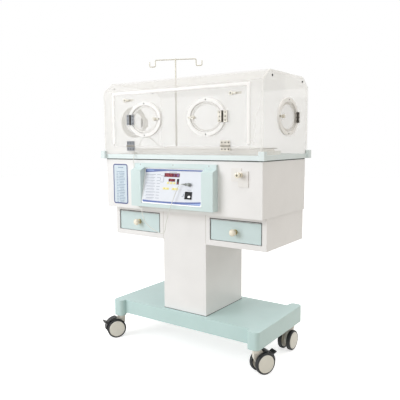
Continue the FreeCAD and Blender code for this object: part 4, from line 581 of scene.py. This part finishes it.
def tile(middle_u, middle_v, wide, tall):
    """Outline of a rectangle about its middle."""
    u, v = wide / 2, tall / 2
    return [(middle_u - u, middle_v - v), (middle_u + u, middle_v - v),
            (middle_u + u, middle_v + v), (middle_u - u, middle_v + v)]


def rounded_outline(middle_u, middle_v, wide, tall, radius, steps=6):
    """Outline of a rectangle with round corners."""
    points = []
    for su, sv, start in ((1, -1, -90), (1, 1, 0), (-1, 1, 90), (-1, -1, 180)):
        for i in range(steps + 1):
            turn = math.radians(start + 90 * i / steps)
            points.append((middle_u + su * (wide / 2 - radius) + radius * math.cos(turn),
                           middle_v + sv * (tall / 2 - radius) + radius * math.sin(turn)))
    return points


def ribbon(lower, upper, x0, x1, low, high, steps=24):
    """Band on the console plate between two curves."""
    xs = [x0 + (x1 - x0) * i / steps for i in range(steps + 1)]
    outline = [(x, lower(x)) for x in xs] + [(x, upper(x)) for x in reversed(xs)]
    return slabs([outline], on_plate, low, high)


# The console's sloped plate: its tilt and the place of its lower edge (y, z)
PLATE_TILT = math.radians(11.8)
PLATE_FOOT = (-259.0, 747.0)


def on_plate(x, up, lift):
    """Place on the console's sloped plate: across, up the slope, and out from its face."""
    y = PLATE_FOOT[0] + up * math.sin(PLATE_TILT) - lift * math.cos(PLATE_TILT)
    z = PLATE_FOOT[1] + up * math.cos(PLATE_TILT) + lift * math.sin(PLATE_TILT)
    return spot(x, y, z)


def on_cabinet(x, z, lift):
    """Place on the cabinet's front face."""
    return spot(x, CABINET_FRONT - lift, z)


def on_door(x, z, lift):
    """Place on the front face of the hood and its door."""
    return spot(x, HOOD_FRONT - lift, z)


def on_housing(x, z, lift):
    """Place on the front face of the column and the drawer housings."""
    return spot(x, COLUMN_FRONT - lift, z)


# Sensor cable, the same route as the part's tube
CABLE_ROUTE = [
    (53.7, -250.7, 847.4), (43, -251.6, 846), (34, -254.5, 835), (26, -260, 812),
    (18, -266.5, 785), (8, -274, 750), (-1, -281, 713), (-10, -285, 683),
    (-16, -286.5, 658), (-17, -287, 637), (-23, -288, 621), (-36, -288.5, 613.5),
    (-52, -288.5, 613.5), (-70, -288.5, 619), (-92, -289, 628), (-115, -289, 639),
    (-136, -289, 654), (-150, -289, 676), (-160, -286, 698), (-170, -279, 712),
    (-184, -268, 718.5), (-203, -252, 721), (-222, -238, 722.5), (-240, -229, 724),
    (-256, -224.5, 729), (-266, -222.8, 742), (-268, -222.8, 765), (-267, -222.8, 800),
    (-265, -222.8, 850), (-263, -223, 885), (-261, -225, 906), (-257, -231, 926),
    (-253, -238, 945), (-249, -242.5, 960), (-247, -242, 975), (-249, -231.5, 988),
    (-252, -219, 989), (-252, -207, 994), (-251, -200, 1006), (-249, -197, 1024),
    (-242, -196, 1045), (-228, -196, 1062), (-206, -193, 1069), (-186, -185, 1062),
    (-171, -173, 1045), (-160, -163, 1029), (-150, -154, 1020), (-139, -146, 1016.6),
    (-127, -138, 1015.8), (-117, -131, 1015.7),
]
CABLE_RADIUS_MM = 1.6


def hang_cable():
    """Limp sensor lead from the plug, in a loop and over the tray, to the probe."""
    data = bpy.data.curves.new("sensor_lead", "CURVE")
    data.dimensions = "3D"
    spline = data.splines.new("NURBS")
    spline.points.add(len(CABLE_ROUTE) - 1)
    for point, place in zip(spline.points, CABLE_ROUTE):
        point.co = (*spot(*place), 1)
    spline.order_u = 3
    spline.use_endpoint_u = True
    spline.resolution_u = 6
    data.bevel_depth = CABLE_RADIUS_MM * MM
    data.bevel_resolution = 4
    data.use_fill_caps = True
    data.materials.append(CABLE_SKIN)
    lead = bpy.data.objects.new("sensor_lead", data)
    bpy.context.collection.objects.link(lead)
    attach(lead, "stand")
    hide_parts("sensor_cable")


# The sensor socket's middle on the plate
SOCKET = (92, 100)


def make_plug():
    """Right-angle plug: knurled ring, ribbed grip and tapered strain relief."""
    up = Vector((0, -math.cos(PLATE_TILT), math.sin(PLATE_TILT)))
    across = Vector((1, 0, 0))
    slope = up.cross(across)
    upright = axes_at(on_plate(*SOCKET, 0), across, slope, up)
    ring = [(0, 6), (8.2, 6)]
    for i in range(4):
        ring += [(8.4, 6.8 + 1.4 * i), (7.6, 7.4 + 1.4 * i)]
    ring += [(6.8, 12.6), (6.4, 16.5), (5.2, 17.8), (0, 18)]
    lying = axes_at(on_plate(*SOCKET, 12.4), slope, up, across)
    grip = [(0, 4), (4.6, 3.6), (5.5, 2), (5.5, -6)]
    for i in range(5):
        start = -2.4 * i
        grip += [(5.5, start - 7), (4.8, start - 7.5), (4.8, start - 8.6), (5.5, start - 9.1)]
    grip += [(5.0, -20), (3.6, -22), (3.3, -27), (2.5, -33), (2.2, -38.2), (0, -38.2)]
    mesh = lathe([(ring, upright), (grip, lying)], 32)
    plug = add_piece("plug_body", mesh, PLUG_GREY, "stand")
    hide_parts("sensor_plug")


# Casters: the swivel's place and the trail's direction in degrees. Wheel profiles are
# radius and distance from the fork's middle.
CASTERS = {"fr": (412, -184, 62), "fl": (-412, -184, 236), "rr": (412, 186, 268), "rl": (-412, 186, 200)}
CASTER_TRAIL, WHEEL_RADIUS = 34, 50
TYRE_PROFILE = [(41, 14), (44.5, 12.8), (47.3, 13.2), (49.2, 15), (WHEEL_RADIUS, 18.2), (WHEEL_RADIUS, 27.8),
                (49.2, 31), (47.3, 32.8), (44.5, 33.4), (42, 33), (41, 31.5), (41, 14)]
HUB_PROFILE = [(5, 15.5), (10, 15), (11, 17.5), (35, 18.5), (38, 15.5), (40.9, 14.6), (41, 32.6),
               (41.2, 33.6), (40, 34.2), (37.2, 34.4), (36.6, 33.9), (35.6, 33.9), (35, 34.4), (20, 34.5),
               (9, 34.5), (8.4, 34.1), (7.6, 34.1), (7, 34.5), (0, 34.5)]


def make_wheels():
    """Twin wheels of each caster: dished hubs with a rim groove, and rounded tyres."""
    up = Vector((0, 0, 1))
    for key, (x, y, angle) in CASTERS.items():
        turn = math.radians(angle)
        middle = spot(x + CASTER_TRAIL * math.cos(turn), y + CASTER_TRAIL * math.sin(turn), WHEEL_RADIUS)
        axle = Vector((-math.sin(turn), math.cos(turn), 0))
        frames = [axes_at(middle, up.cross(way), up, way) for way in (axle, -axle)]
        hub = lathe([(HUB_PROFILE, f) for f in frames], 64)
        hubs = add_piece("wheel_hubs_" + key, hub, HUB, "wheels_" + key, 30)
        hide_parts("caster_wheels_" + key)
        tyre = lathe([(TYRE_PROFILE, f) for f in frames], 64)
        tyres = add_piece("tyres_" + key, tyre, TYRE, "wheels_" + key, 50)
        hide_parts("caster_wheels_" + key)


# Screws

# Hand ports: hinge side, axes, middle and body of the panel
PORTS = {
    "front_right": (1, FRONT, (PORT_ACROSS, HOOD_FRONT, PORT_HEIGHT), "front_door"),
    "front_left": (-1, FRONT, (-PORT_ACROSS, HOOD_FRONT, PORT_HEIGHT), "front_door"),
    "end_right": (1, RIGHT, (HOOD_END, PORT_DEEP, PORT_HEIGHT), "stand"),
    "end_left": (-1, LEFT, (-HOOD_END, PORT_DEEP, PORT_HEIGHT), "stand"),
}
# A collar's screws stand this far from the port's middle, on its face
COLLAR_SCREW, COLLAR_SIDE_SCREW, COLLAR_FACE = 76, 94, 9
# A leaf's three screws along its length, and their distance from the barrel
LEAF_SCREWS, LEAF_SCREW_OFF = (-17, 0, 17), 15
PORT_LEAF_FACE, SILL_LEAF_FACE = 11, 2
DOOR_LATCH_ACROSS, DOOR_LATCH_FRONT, DOOR_LATCH_HEIGHT = 308, -237, 1248
PORT_LATCH_ACROSS = 113
FLANGE_SCREWS, FLANGE_FRONT, FLANGE_HEIGHT = (-214, -11, 193), -232, 933
HOOD_END_SCREWS, HOOD_END_SCREW_HEIGHT = (-147, 164), 1320
COVER_SCREWS, COVER_SCREW_HEIGHTS = (-300, -100, 100, 300), (740, 925)


def screw_heads(name, frames, radius, material, body, height=1.2):
    """Domed screw heads with a ring round the drive, standing on local Z."""
    dome = [(0, height), (radius * 0.22, height), (radius * 0.3, height * 0.7),
            (radius * 0.42, height * 0.95), (radius * 0.8, height * 0.7), (radius, height * 0.15),
            (radius, -0.1)]
    add_piece(name, lathe([(dome, f) for f in frames], 20), material, body, 60)


def hood_screws(name, frames, radius, body, height=1.2):
    """Blackened screws of the hood."""
    screw_heads(name, frames, radius, SCREW_DARK, body, height)


def fit_screws():
    """Screw heads on collars, hinges, latches, console flange, hood ends and rear cover."""
    for key, (sign, axes, middle, body) in PORTS.items():
        origin = spot(*middle)
        around = [local(axes, origin, u, v, COLLAR_FACE)
                  for u, v in ((0, COLLAR_SCREW), (0, -COLLAR_SCREW), (-sign * COLLAR_SIDE_SCREW, 0))]
        hood_screws("collar_screws_" + key, around, 3.0, body)
        for word, way, carrier in (("fixed", 1, body), ("moving", -1, "port_" + key)):
            across = sign * (PORT_HINGE + way * LEAF_SCREW_OFF)
            row = [local(axes, origin, across, v, PORT_LEAF_FACE) for v in LEAF_SCREWS]
            hood_screws(f"leaf_screws_{word}_{key}", row, 3.0, carrier)
    for word, sign in (("right", 1), ("left", -1)):
        origin = spot(sign * SILL_HINGE_ACROSS, HOOD_FRONT, SILL_HINGE_HEIGHT)
        for name, way, carrier in (("sill", 1, "stand"), ("door", -1, "front_door")):
            row = [local(DOWN_FRONT, origin, way * LEAF_SCREW_OFF, v, SILL_LEAF_FACE) for v in LEAF_SCREWS]
            hood_screws(f"{name}_hinge_screws_{word}", row, 3.2, carrier)
    for word, sign in (("right", 1), ("left", -1)):
        latch = spot(sign * DOOR_LATCH_ACROSS, DOOR_LATCH_FRONT, DOOR_LATCH_HEIGHT)
        hood_screws("door_latch_screw_" + word, [axes_at(latch, *FRONT)], 3.2, "door_latch_" + word)
        pivot = spot(sign * PORT_LATCH_ACROSS, 0, PORT_HEIGHT)
        pivot.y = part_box("port_latch_turn_front_" + word)[0].y
        hood_screws("port_latch_screw_" + word, [axes_at(pivot, *FRONT)], 2.4, "port_latch_front_" + word)
    flange = [axes_at(spot(x, FLANGE_FRONT, FLANGE_HEIGHT), *FRONT) for x in FLANGE_SCREWS]
    screw_heads("console_flange_screws", flange, 3.6, ZINC, "stand")
    for word, axes, x in (("right", RIGHT, HOOD_END), ("left", LEFT, -HOOD_END)):
        ends = [axes_at(spot(x, y, HOOD_END_SCREW_HEIGHT), *axes) for y in HOOD_END_SCREWS]
        hood_screws("hood_end_screws_" + word, ends, 5.0, "stand", 3.0)
    cover = [axes_at(spot(x, CABINET_REAR, z), *REAR) for x in COVER_SCREWS for z in COVER_SCREW_HEIGHTS]
    screw_heads("rear_cover_screws", cover, 3.6, ZINC, "stand")


# Console: places on the plate are across from the stand's middle and up the slope
FILM_MIDDLE = (-10, 87.8)
WAVE_LEFT, WAVE_RIGHT = -185, 165
PRINT, OVERPRINT = 0.25, 0.4
PLAIN_ROWS, ROW_PITCH, TOP_ROW = 9, 14.2, 142
KEY_FACE = 1.2


def part_across(x):
    """How far across the film a place is, from 0 to 1."""
    return (x + 190) / 360


def ease(t):
    """Smooth step from 0 to 1."""
    t = min(1, max(0, t))
    return t * t * (3 - 2 * t)


def top_wave(x):
    """Lower edge of the blue band along the film's top."""
    return 152.5 + 8.5 * ease(part_across(x) / 0.5) + 2 * part_across(x)


def bottom_wave(x):
    """Upper edge of the blue band along the film's foot."""
    return 17.5 - 16 * part_across(x) + 23 * part_across(x) ** 2


def print_console():
    """Printed film: white border, blue waves, marks and plain lines where text would be."""
    outer = rounded_outline(*FILM_MIDDLE, 358, 174, 8)
    inner = rounded_outline(*FILM_MIDDLE, 347, 163, 6)
    border = frame_slab(outer, inner, on_plate, 0.0, 0.5)
    add_piece("film_border", border, BORDER_AND_SWITCH_HIGHLIGHT, "stand")
    top = ribbon(top_wave, lambda x: 170, WAVE_LEFT, WAVE_RIGHT, 0.0, PRINT)
    add_piece("blue_wave_top", top, INK_BLUE, "stand")
    bottom = ribbon(lambda x: 6, bottom_wave, WAVE_LEFT, WAVE_RIGHT, 0.0, PRINT)
    add_piece("blue_wave_bottom", bottom, INK_BLUE, "stand")
    # Pale strip at the lower wave's right: a painted glint on the film
    glint = ribbon(lambda x: 8.0, lambda x: 8.2 + 9 * (x - 70) / 94, 70, 164, PRINT, OVERPRINT)
    add_piece("painted_glint_wave_bottom", glint, INK_PALE_AND_GLINT, "stand")
    glint = ribbon(lambda x: 160.5, lambda x: 164.5, -178, -132, PRINT, OVERPRINT)
    add_piece("pale_wave_top", glint, INK_PALE_AND_GLINT, "stand")

    faint = []
    dark = []
    for row in range(PLAIN_ROWS):
        up = TOP_ROW - row * ROW_PITCH
        left = -178 + 1.2 * row
        dark.append(tile(left + 30, up, 60 - 6 * (row % 3), 3.2))
        faint.append(tile(left + 24, up - 5.4, 46 + 8 * (row % 2), 2.6))
        dark.append(tile(-99 + 0.6 * row, up, 22 - 3 * (row % 2), 3.0))
    add_piece("plain_lines_faint", slabs(faint, on_plate, 0.0, 0.2), INK_FAINT, "stand")
    heading = tile(-14, 156, 46, 2.8)
    bracket = [tile(-66, 122, 3, 30), tile(-75, 137, 20, 2.4), tile(-76, 107, 22, 2.4),
               tile(-86, 122, 2.4, 14)]
    beside_switch = [tile(62, 52, 6, 12), tile(57, 44, 9, 4)]
    under_socket = tile(92, 76, 22, 2.4)
    marks = dark + [heading] + bracket + beside_switch + [under_socket]
    add_piece("plain_lines_grey", slabs(marks, on_plate, 0.0, 0.2), INK_GREY, "stand")
    arrows = [[(u + 5, 73.6), (u + 5, 80.4), (u - 2, 77)] for u in (-58, -4)]
    arrows += [[(u - 5, 73.6), (u - 5, 80.4), (u + 2, 77)] for u in (-34, 20)]
    key_marks = [tile(-37 + 19 * i, 104, 4, 1.4) for i in range(3)] + arrows
    add_piece("key_marks", slabs(key_marks, on_plate, KEY_FACE, 1.4), INK_OCHRE, "stand")


# Bars of a seven-segment digit: a to f clockwise from the top, g in the middle
SEGMENTS = {"3": "abgcd", "5": "afgcd", "6": "afgedc", "7": "abc"}
# A row of digits: place of its foot, then a digit's width, height and bar thickness
LARGE = (136, 7, 12, 1.7)
SMALL = (114, 5, 8, 1.3)


def digit(text, u, v, wide, tall, thick):
    """Seven-segment outlines of one digit with its lower left corner at u, v."""
    half = tall / 2
    middle, right = u + wide / 2, u + wide
    lower, upper = v + half / 2, v + 1.5 * half
    bars = {"a": tile(middle, v + tall, wide - thick, thick), "b": tile(right, upper, thick, half - thick),
            "c": tile(right, lower, thick, half - thick), "d": tile(middle, v, wide - thick, thick),
            "e": tile(u, lower, thick, half - thick), "f": tile(u, upper, thick, half - thick),
            "g": tile(middle, v + half, wide - thick, thick)}
    return [bars[name] for name in SEGMENTS[text]]


def light_displays():
    """Lit numbers in the two windows and steps in the light bar."""
    lit = []
    for i, text in enumerate("36"):
        lit += digit(text, -55 + 13 * i, *LARGE)
    lit += digit("5", -26, *LARGE)
    lit.append(tile(-31.5, 135.6, 2, 2))
    for i, text in enumerate("35"):
        lit += digit(text, -27 + 10 * i, *SMALL)
    lit += [tile(21, 102 + 4 * i, 6, 1.8) for i in range(3)]
    add_piece("lit_segments", slabs(lit, on_plate, KEY_FACE, 1.45), DIGIT, "stand")
    violet = digit("3", -9, *LARGE) + digit("7", 5, *LARGE) + [tile(19, 142, 8, 12)]
    add_piece("violet_segments", slabs(violet, on_plate, KEY_FACE, 1.4), VIOLET, "stand")


def rocker_highlight():
    """White patch on the pressed side of the switch, a painted highlight; the switch's top slopes about its
    middle.
    """
    across, up, height, slope = 90, 50, 3.0, (5.0 - 3.0) / 12

    def on_rocker(u, v, lift):
        return on_plate(across + u, up + v, height - slope * v + lift)

    mark = slabs([rounded_outline(6.5, -6, 14, 9.5, 3)], on_rocker, 0.0, 0.3)
    add_piece("switch_painted_highlight", mark, BORDER_AND_SWITCH_HIGHLIGHT, "rocker")


# Care card on the cabinet: its middle (x, z) and size
CARD_MIDDLE, CARD_WIDE, CARD_TALL = (-361.5, 830), 99, 204
CARD_FRAME = 11
CARD_ROWS, CARD_ROW_PITCH, CARD_TOP_ROW = 20, 8.2, 893


def make_card():
    """Laminated card on the cabinet's front: a blue frame and plain lines where text would be."""
    outer = rounded_outline(*CARD_MIDDLE, CARD_WIDE, CARD_TALL, 12)
    inner = rounded_outline(*CARD_MIDDLE, CARD_WIDE - CARD_FRAME, CARD_TALL - CARD_FRAME, 7)
    add_piece("care_card", slabs([outer], on_cabinet, 0.0, 1.0), CARD, "stand")
    border = frame_slab(outer, inner, on_cabinet, 0.9, 1.3)
    add_piece("care_card_border", border, CARD_BORDER, "stand")
    lines = [tile(-360, 914, 36, 5)]
    for row in range(CARD_ROWS):
        up = CARD_TOP_ROW - row * CARD_ROW_PITCH
        lines.append(tile(-383, up, 12, 3.0))
        lines.append(tile(-355 + 2 * (row % 3), up, 44 - 5 * (row % 4), 3.4))
    add_piece("care_card_lines", slabs(lines, on_cabinet, 1.0, 1.2), CARD_INK, "stand")


# Place of the humidity knob on its plates
KNOB_AT = (352, -224.8, 898)


def make_damper_knob():
    """Ivory knob on a dark waist, partly painted shade under the head, over an ivory skirt, with a dark
    centre and pointer.
    """
    frame_at = axes_at(spot(*KNOB_AT), *FRONT)

    def on_knob(u, v, w):
        return frame_at @ (Vector((u, v, w)) * MM)

    head = [(0, 32), (7, 32), (10.6, 31.2), (12.6, 29), (13, 25.5), (12.7, 21.5), (11.2, 19.5), (7, 19.2),
            (0, 19.2)]
    skirt = [(0, 6.4), (7.6, 6.4), (10.4, 5.6), (11, 4), (11, 0), (0, 0)]
    grip = add_piece("damper_grip", lathe([(head, frame_at), (skirt, frame_at)], 48), IVORY, "damper_knob")
    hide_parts("damper_knob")
    waist = [(0, 19.3), (7.1, 19.3), (6.7, 13), (7.1, 6.3), (0, 6.3)]
    neck = add_piece("damper_waist", lathe([(waist, frame_at)]), OLIVE_AND_SHADE, "damper_knob")
    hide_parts("damper_knob")
    eye = [(0, 31.5), (4.8, 31.5), (5.2, 32.1), (4.2, 32.3), (0, 32.1)]
    add_piece("damper_eye", lathe([(eye, frame_at)], 32), OLIVE_AND_SHADE, "damper_knob")
    stripe = slabs([tile(0, 9.3, 1.6, 4)], on_knob, 30.4, 32.1)
    add_piece("damper_pointer", stripe, OLIVE_AND_SHADE, "damper_knob")


# Mattress: room for its cover to swell, its corners and rims
SIDE_SLACK, TOP_SLACK = 12, 10
CORNER_ROUND, RIM_ROUND = 22, 6
SETTLE = 2
MESH_STEP = 7
SWELL_FRAMES, SWELL_LIMIT = 15, 5
BOX_MARGIN = 0.2
PIPING_INSET, PIPING_RADIUS = 5, 1.6


def soft_block(size):
    """Evenly meshed block with round upright edges and softened rims."""
    bm = bmesh.new()
    bmesh.ops.create_cube(bm, size=1)
    for vert in bm.verts:
        vert.co = Vector((vert.co.x * (size.x - SIDE_SLACK * MM), vert.co.y * (size.y - SIDE_SLACK * MM),
                          vert.co.z * (size.z - TOP_SLACK * MM)))
    upright = [e for e in bm.edges if abs((e.verts[0].co - e.verts[1].co).z) > 0.01]
    bmesh.ops.bevel(bm, geom=upright, offset=CORNER_ROUND * MM, segments=5, affect="EDGES")
    bmesh.ops.bevel(bm, geom=[e for e in bm.edges if e.is_boundary or e.calc_face_angle(0) > 0.6],
                    offset=RIM_ROUND * MM, segments=3, affect="EDGES")
    bmesh.ops.translate(bm, verts=bm.verts, vec=(0, 0, -SETTLE * MM))
    mesh = bpy.data.meshes.new("mattress_cover")
    bm.to_mesh(mesh)
    bm.free()
    return mesh


def bake_modifiers(piece):
    """Apply a piece's modifiers to its mesh."""
    shaped = piece.evaluated_get(bpy.context.evaluated_depsgraph_get())
    mesh = bpy.data.meshes.new_from_object(shaped)
    piece.modifiers.clear()
    piece.data = mesh


def swell(pad):
    """Press the cover outwards as cloth, then hold each point within the limit."""
    start = [v.co.copy() for v in pad.data.vertices]
    cloth = pad.modifiers.new("swell", "CLOTH")
    cloth.settings.use_pressure = True
    cloth.settings.uniform_pressure_force = 3.0
    cloth.settings.effector_weights.gravity = 0
    cloth.settings.quality = 5
    scene = bpy.context.scene
    for number in range(1, SWELL_FRAMES + 1):
        scene.frame_set(number)
    bake_modifiers(pad)
    scene.frame_set(1)
    for vert, before in zip(pad.data.vertices, start):
        move = vert.co - before
        if move.length > SWELL_LIMIT * MM:
            vert.co = before + move.normalized() * (SWELL_LIMIT * MM)


def make_mattress():
    """Foam mattress in a cotton cover, swollen between its edges, with dark piping round the top as a
    painted shade line.
    """
    low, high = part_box("mattress")
    middle = (low + high) / 2
    size = high - low
    pad = bpy.data.objects.new("mattress_cover", soft_block(size))
    bpy.context.collection.objects.link(pad)
    pad.location = middle
    remesh = pad.modifiers.new("even_mesh", "REMESH")
    remesh.mode = "VOXEL"
    remesh.voxel_size = MESH_STEP * MM
    bake_modifiers(pad)
    swell(pad)
    half = size / 2
    margin = BOX_MARGIN * MM
    for vert in pad.data.vertices:
        vert.co = Vector([max(-h + margin, min(h - margin, c)) for c, h in zip(vert.co, half)])
    pad.data.materials.append(SHEET)
    pad.data.shade_smooth()
    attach(pad, "stand")
    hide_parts("mattress")
    sew_piping(middle, half)


def sew_piping(middle, half):
    """Sewn piping along the mattress's upper edge, dark as a painted shade line."""
    data = bpy.data.curves.new("mattress_piping_shade_line", "CURVE")
    data.dimensions = "3D"
    spline = data.splines.new("POLY")
    outline = rounded_outline(0, 0, (half.x / MM - PIPING_INSET) * 2, (half.y / MM - PIPING_INSET) * 2,
                              CORNER_ROUND, 8)
    spline.points.add(len(outline) - 1)
    for point, (u, v) in zip(spline.points, outline):
        point.co = (middle.x + u * MM, middle.y + v * MM, middle.z + half.z - 5.5 * MM, 1)
    spline.use_cyclic_u = True
    data.bevel_depth = PIPING_RADIUS * MM
    data.bevel_resolution = 3
    data.materials.append(PIPING_SHADE_LINE)
    cord = bpy.data.objects.new("mattress_piping_shade_line", data)
    bpy.context.collection.objects.link(cord)
    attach(cord, "stand")


# The clamp screw's seat, on the back of the pole tube's collar
COLLAR_CLAMP = (-364, 264.5, 1354)


def fit_pole_clamp():
    """Clamp screw on the pole's collar."""
    wing = [(0, 12), (5, 12), (6, 11), (6, 5), (3, 4.4), (3, -1), (0, -1)]
    mesh = lathe([(wing, axes_at(spot(*COLLAR_CLAMP), *REAR))], 24)
    add_piece("collar_clamp_screw", mesh, BLACK, "stand")


# Door seals and painted gap shade. The door's strip runs along its top and down both sides.
STRIP_TOP, STRIP_SIDE, STRIP_WIDE = 1283.5, 392.5, 13
DRAWER_ACROSS, DRAWER_WIDE = 289, 270
DRAWER_MIDDLE, DRAWER_TALL, DRAWER_TOP = 634, 100, 686
COLUMN_MIDDLE, COLUMN_WIDE, COLUMN_DEEP = 4.5, 256, 339


def door_seals_and_gap_shades():
    """Seal strips on the door, and dark strips of painted shade in the drawer gaps, the column's seams and
    round its foot.
    """
    strips = [tile(0, STRIP_TOP, 2 * STRIP_SIDE + STRIP_WIDE, STRIP_WIDE)]
    strips += [tile(side, 1154.5, STRIP_WIDE, 245) for side in (STRIP_SIDE, -STRIP_SIDE)]
    add_piece("door_seal_strips", slabs(strips, on_door, 0.1, 1.5), STRIP, "front_door")
    # Dark strips along the top and sides of the drawers: painted shade of the gaps
    edges = []
    for middle in (DRAWER_ACROSS, -DRAWER_ACROSS):
        left, right = middle - DRAWER_WIDE / 2, middle + DRAWER_WIDE / 2
        edges += [tile(middle, DRAWER_TOP, DRAWER_WIDE + 4, 4),
                  tile(right + 1.5, DRAWER_MIDDLE, 3, DRAWER_TALL),
                  tile(left - 1, DRAWER_MIDDLE, 2, DRAWER_TALL)]
    add_piece("drawer_gap_shade_strips", slabs(edges, on_housing, 0.0, 1.0), GAP_SHADE, "stand")
    # Grey hairlines in the column's seams: painted shade
    seams = [tile(sign * COLUMN_WIDE / 2, 633, 1.6, 149) for sign in (1, -1)]
    add_piece("column_seam_shades", slabs(seams, on_housing, 0.0, 0.3), SEAM_SHADE, "stand")
    # Dark ring round the column's foot: painted shade of the joint
    inner, outer = [tile(0, COLUMN_MIDDLE, COLUMN_WIDE + lip, COLUMN_DEEP + lip) for lip in (0, 2)]
    foot = frame_slab(outer, inner, spot, 204.1, 206)
    add_piece("column_foot_shade_line", foot, GAP_SHADE, "stand")


# Studio. Lamps: name, place and aim in metres, size, power in watts and colour.
SOFTBOXES = (
    ("front_left_softbox", (-1.9, -3.2, 2.0), (0, 0, 0.8), 2.4, 79, (0.93, 0.965, 1.0)),
    ("top_softbox", (0.2, -0.4, 3.6), (0, 0, 0.8), 2.0, 30, (1.0, 0.99, 0.97)),
    ("rear_softbox", (0.8, 2.8, 2.4), (0, 0, 0.9), 2.0, 18, (1.0, 0.98, 0.94)),
    ("right_softbox", (2.4, -0.2, 2.0), (0.4, 0, 0.95), 1.0, 5.5, (1.0, 0.95, 0.86)),
)
FLOOR_HALF = 12


def seen_directly(tree):
    """1 for what the camera, a reflection or clear plastic shows, 0 for light on the object."""
    rays = add_node(tree, "ShaderNodeLightPath").outputs
    first = add_node(tree, "ShaderNodeMath", {0: rays["Is Camera Ray"], 1: rays["Is Glossy Ray"]},
                     operation="MAXIMUM")
    return add_node(tree, "ShaderNodeMath", {0: first.outputs["Value"], 1: rays["Is Transmission Ray"]},
                    operation="MAXIMUM").outputs["Value"]


def white_backdrop():
    """World that is seen as white and fills the shadows with a soft warm light."""
    scene = bpy.context.scene
    scene.view_settings.view_transform = "Standard"
    world = bpy.data.worlds.new("studio")
    scene.world = world
    world.use_nodes = True
    tree = world.node_tree
    tree.nodes.clear()
    seen = add_node(tree, "ShaderNodeBackground", {"Color": (1, 1, 1, 1), "Strength": 1.0})
    fill = add_node(tree, "ShaderNodeBackground", {"Color": (1.0, 0.985, 0.94, 1), "Strength": 0.62})
    mix = add_node(tree, "ShaderNodeMixShader", {0: seen_directly(tree), 1: fill.outputs["Background"],
                                                 2: seen.outputs["Background"]})
    add_node(tree, "ShaderNodeOutputWorld", {"Surface": mix.outputs["Shader"]})


def lay_floor():
    """Matt floor that reads as white, keeps the shadow and throws back a duller light."""
    bm = bmesh.new()
    bmesh.ops.create_grid(bm, x_segments=1, y_segments=1, size=FLOOR_HALF)
    mesh = bpy.data.meshes.new("studio_floor")
    bm.to_mesh(mesh)
    bm.free()
    material, tree, shader = start_material("matt_white_floor", "#f4f4f4", 0.9)
    bounce = add_node(tree, "ShaderNodeBsdfDiffuse", {"Color": paint("#bfbbb3")})
    lift = add_node(tree, "ShaderNodeEmission", {"Color": (1, 1, 1, 1), "Strength": 0.6})
    both = add_node(tree, "ShaderNodeAddShader", {0: shader.outputs["BSDF"], 1: lift.outputs["Emission"]})
    mix = add_node(tree, "ShaderNodeMixShader", {0: seen_directly(tree), 1: bounce.outputs["BSDF"],
                                                 2: both.outputs["Shader"]})
    tree.links.new(mix.outputs["Shader"], tree.nodes["Material Output"].inputs["Surface"])
    mesh.materials.append(material)
    floor = bpy.data.objects.new("studio_floor", mesh)
    bpy.context.collection.objects.link(floor)
    floor.location = (0, 0, -0.001)


def hang_softboxes():
    """Large soft lamps, the strongest at the front left."""
    for name, place, aim, size, power, colour in SOFTBOXES:
        data = bpy.data.lights.new(name, "AREA")
        data.size = size
        data.energy = power
        data.color = colour
        lamp = bpy.data.objects.new(name, data)
        bpy.context.collection.objects.link(lamp)
        lamp.location = place
        lamp.rotation_euler = (Vector(aim) - Vector(place)).to_track_quat("-Z", "Y").to_euler()


set_camera()
hang_cable()
dress_nodes()
make_plug()
make_wheels()
fit_screws()
print_console()
light_displays()
make_card()
make_damper_knob()
make_mattress()
fit_pole_clamp()
rocker_highlight()
door_seals_and_gap_shades()
white_backdrop()
lay_floor()
hang_softboxes()
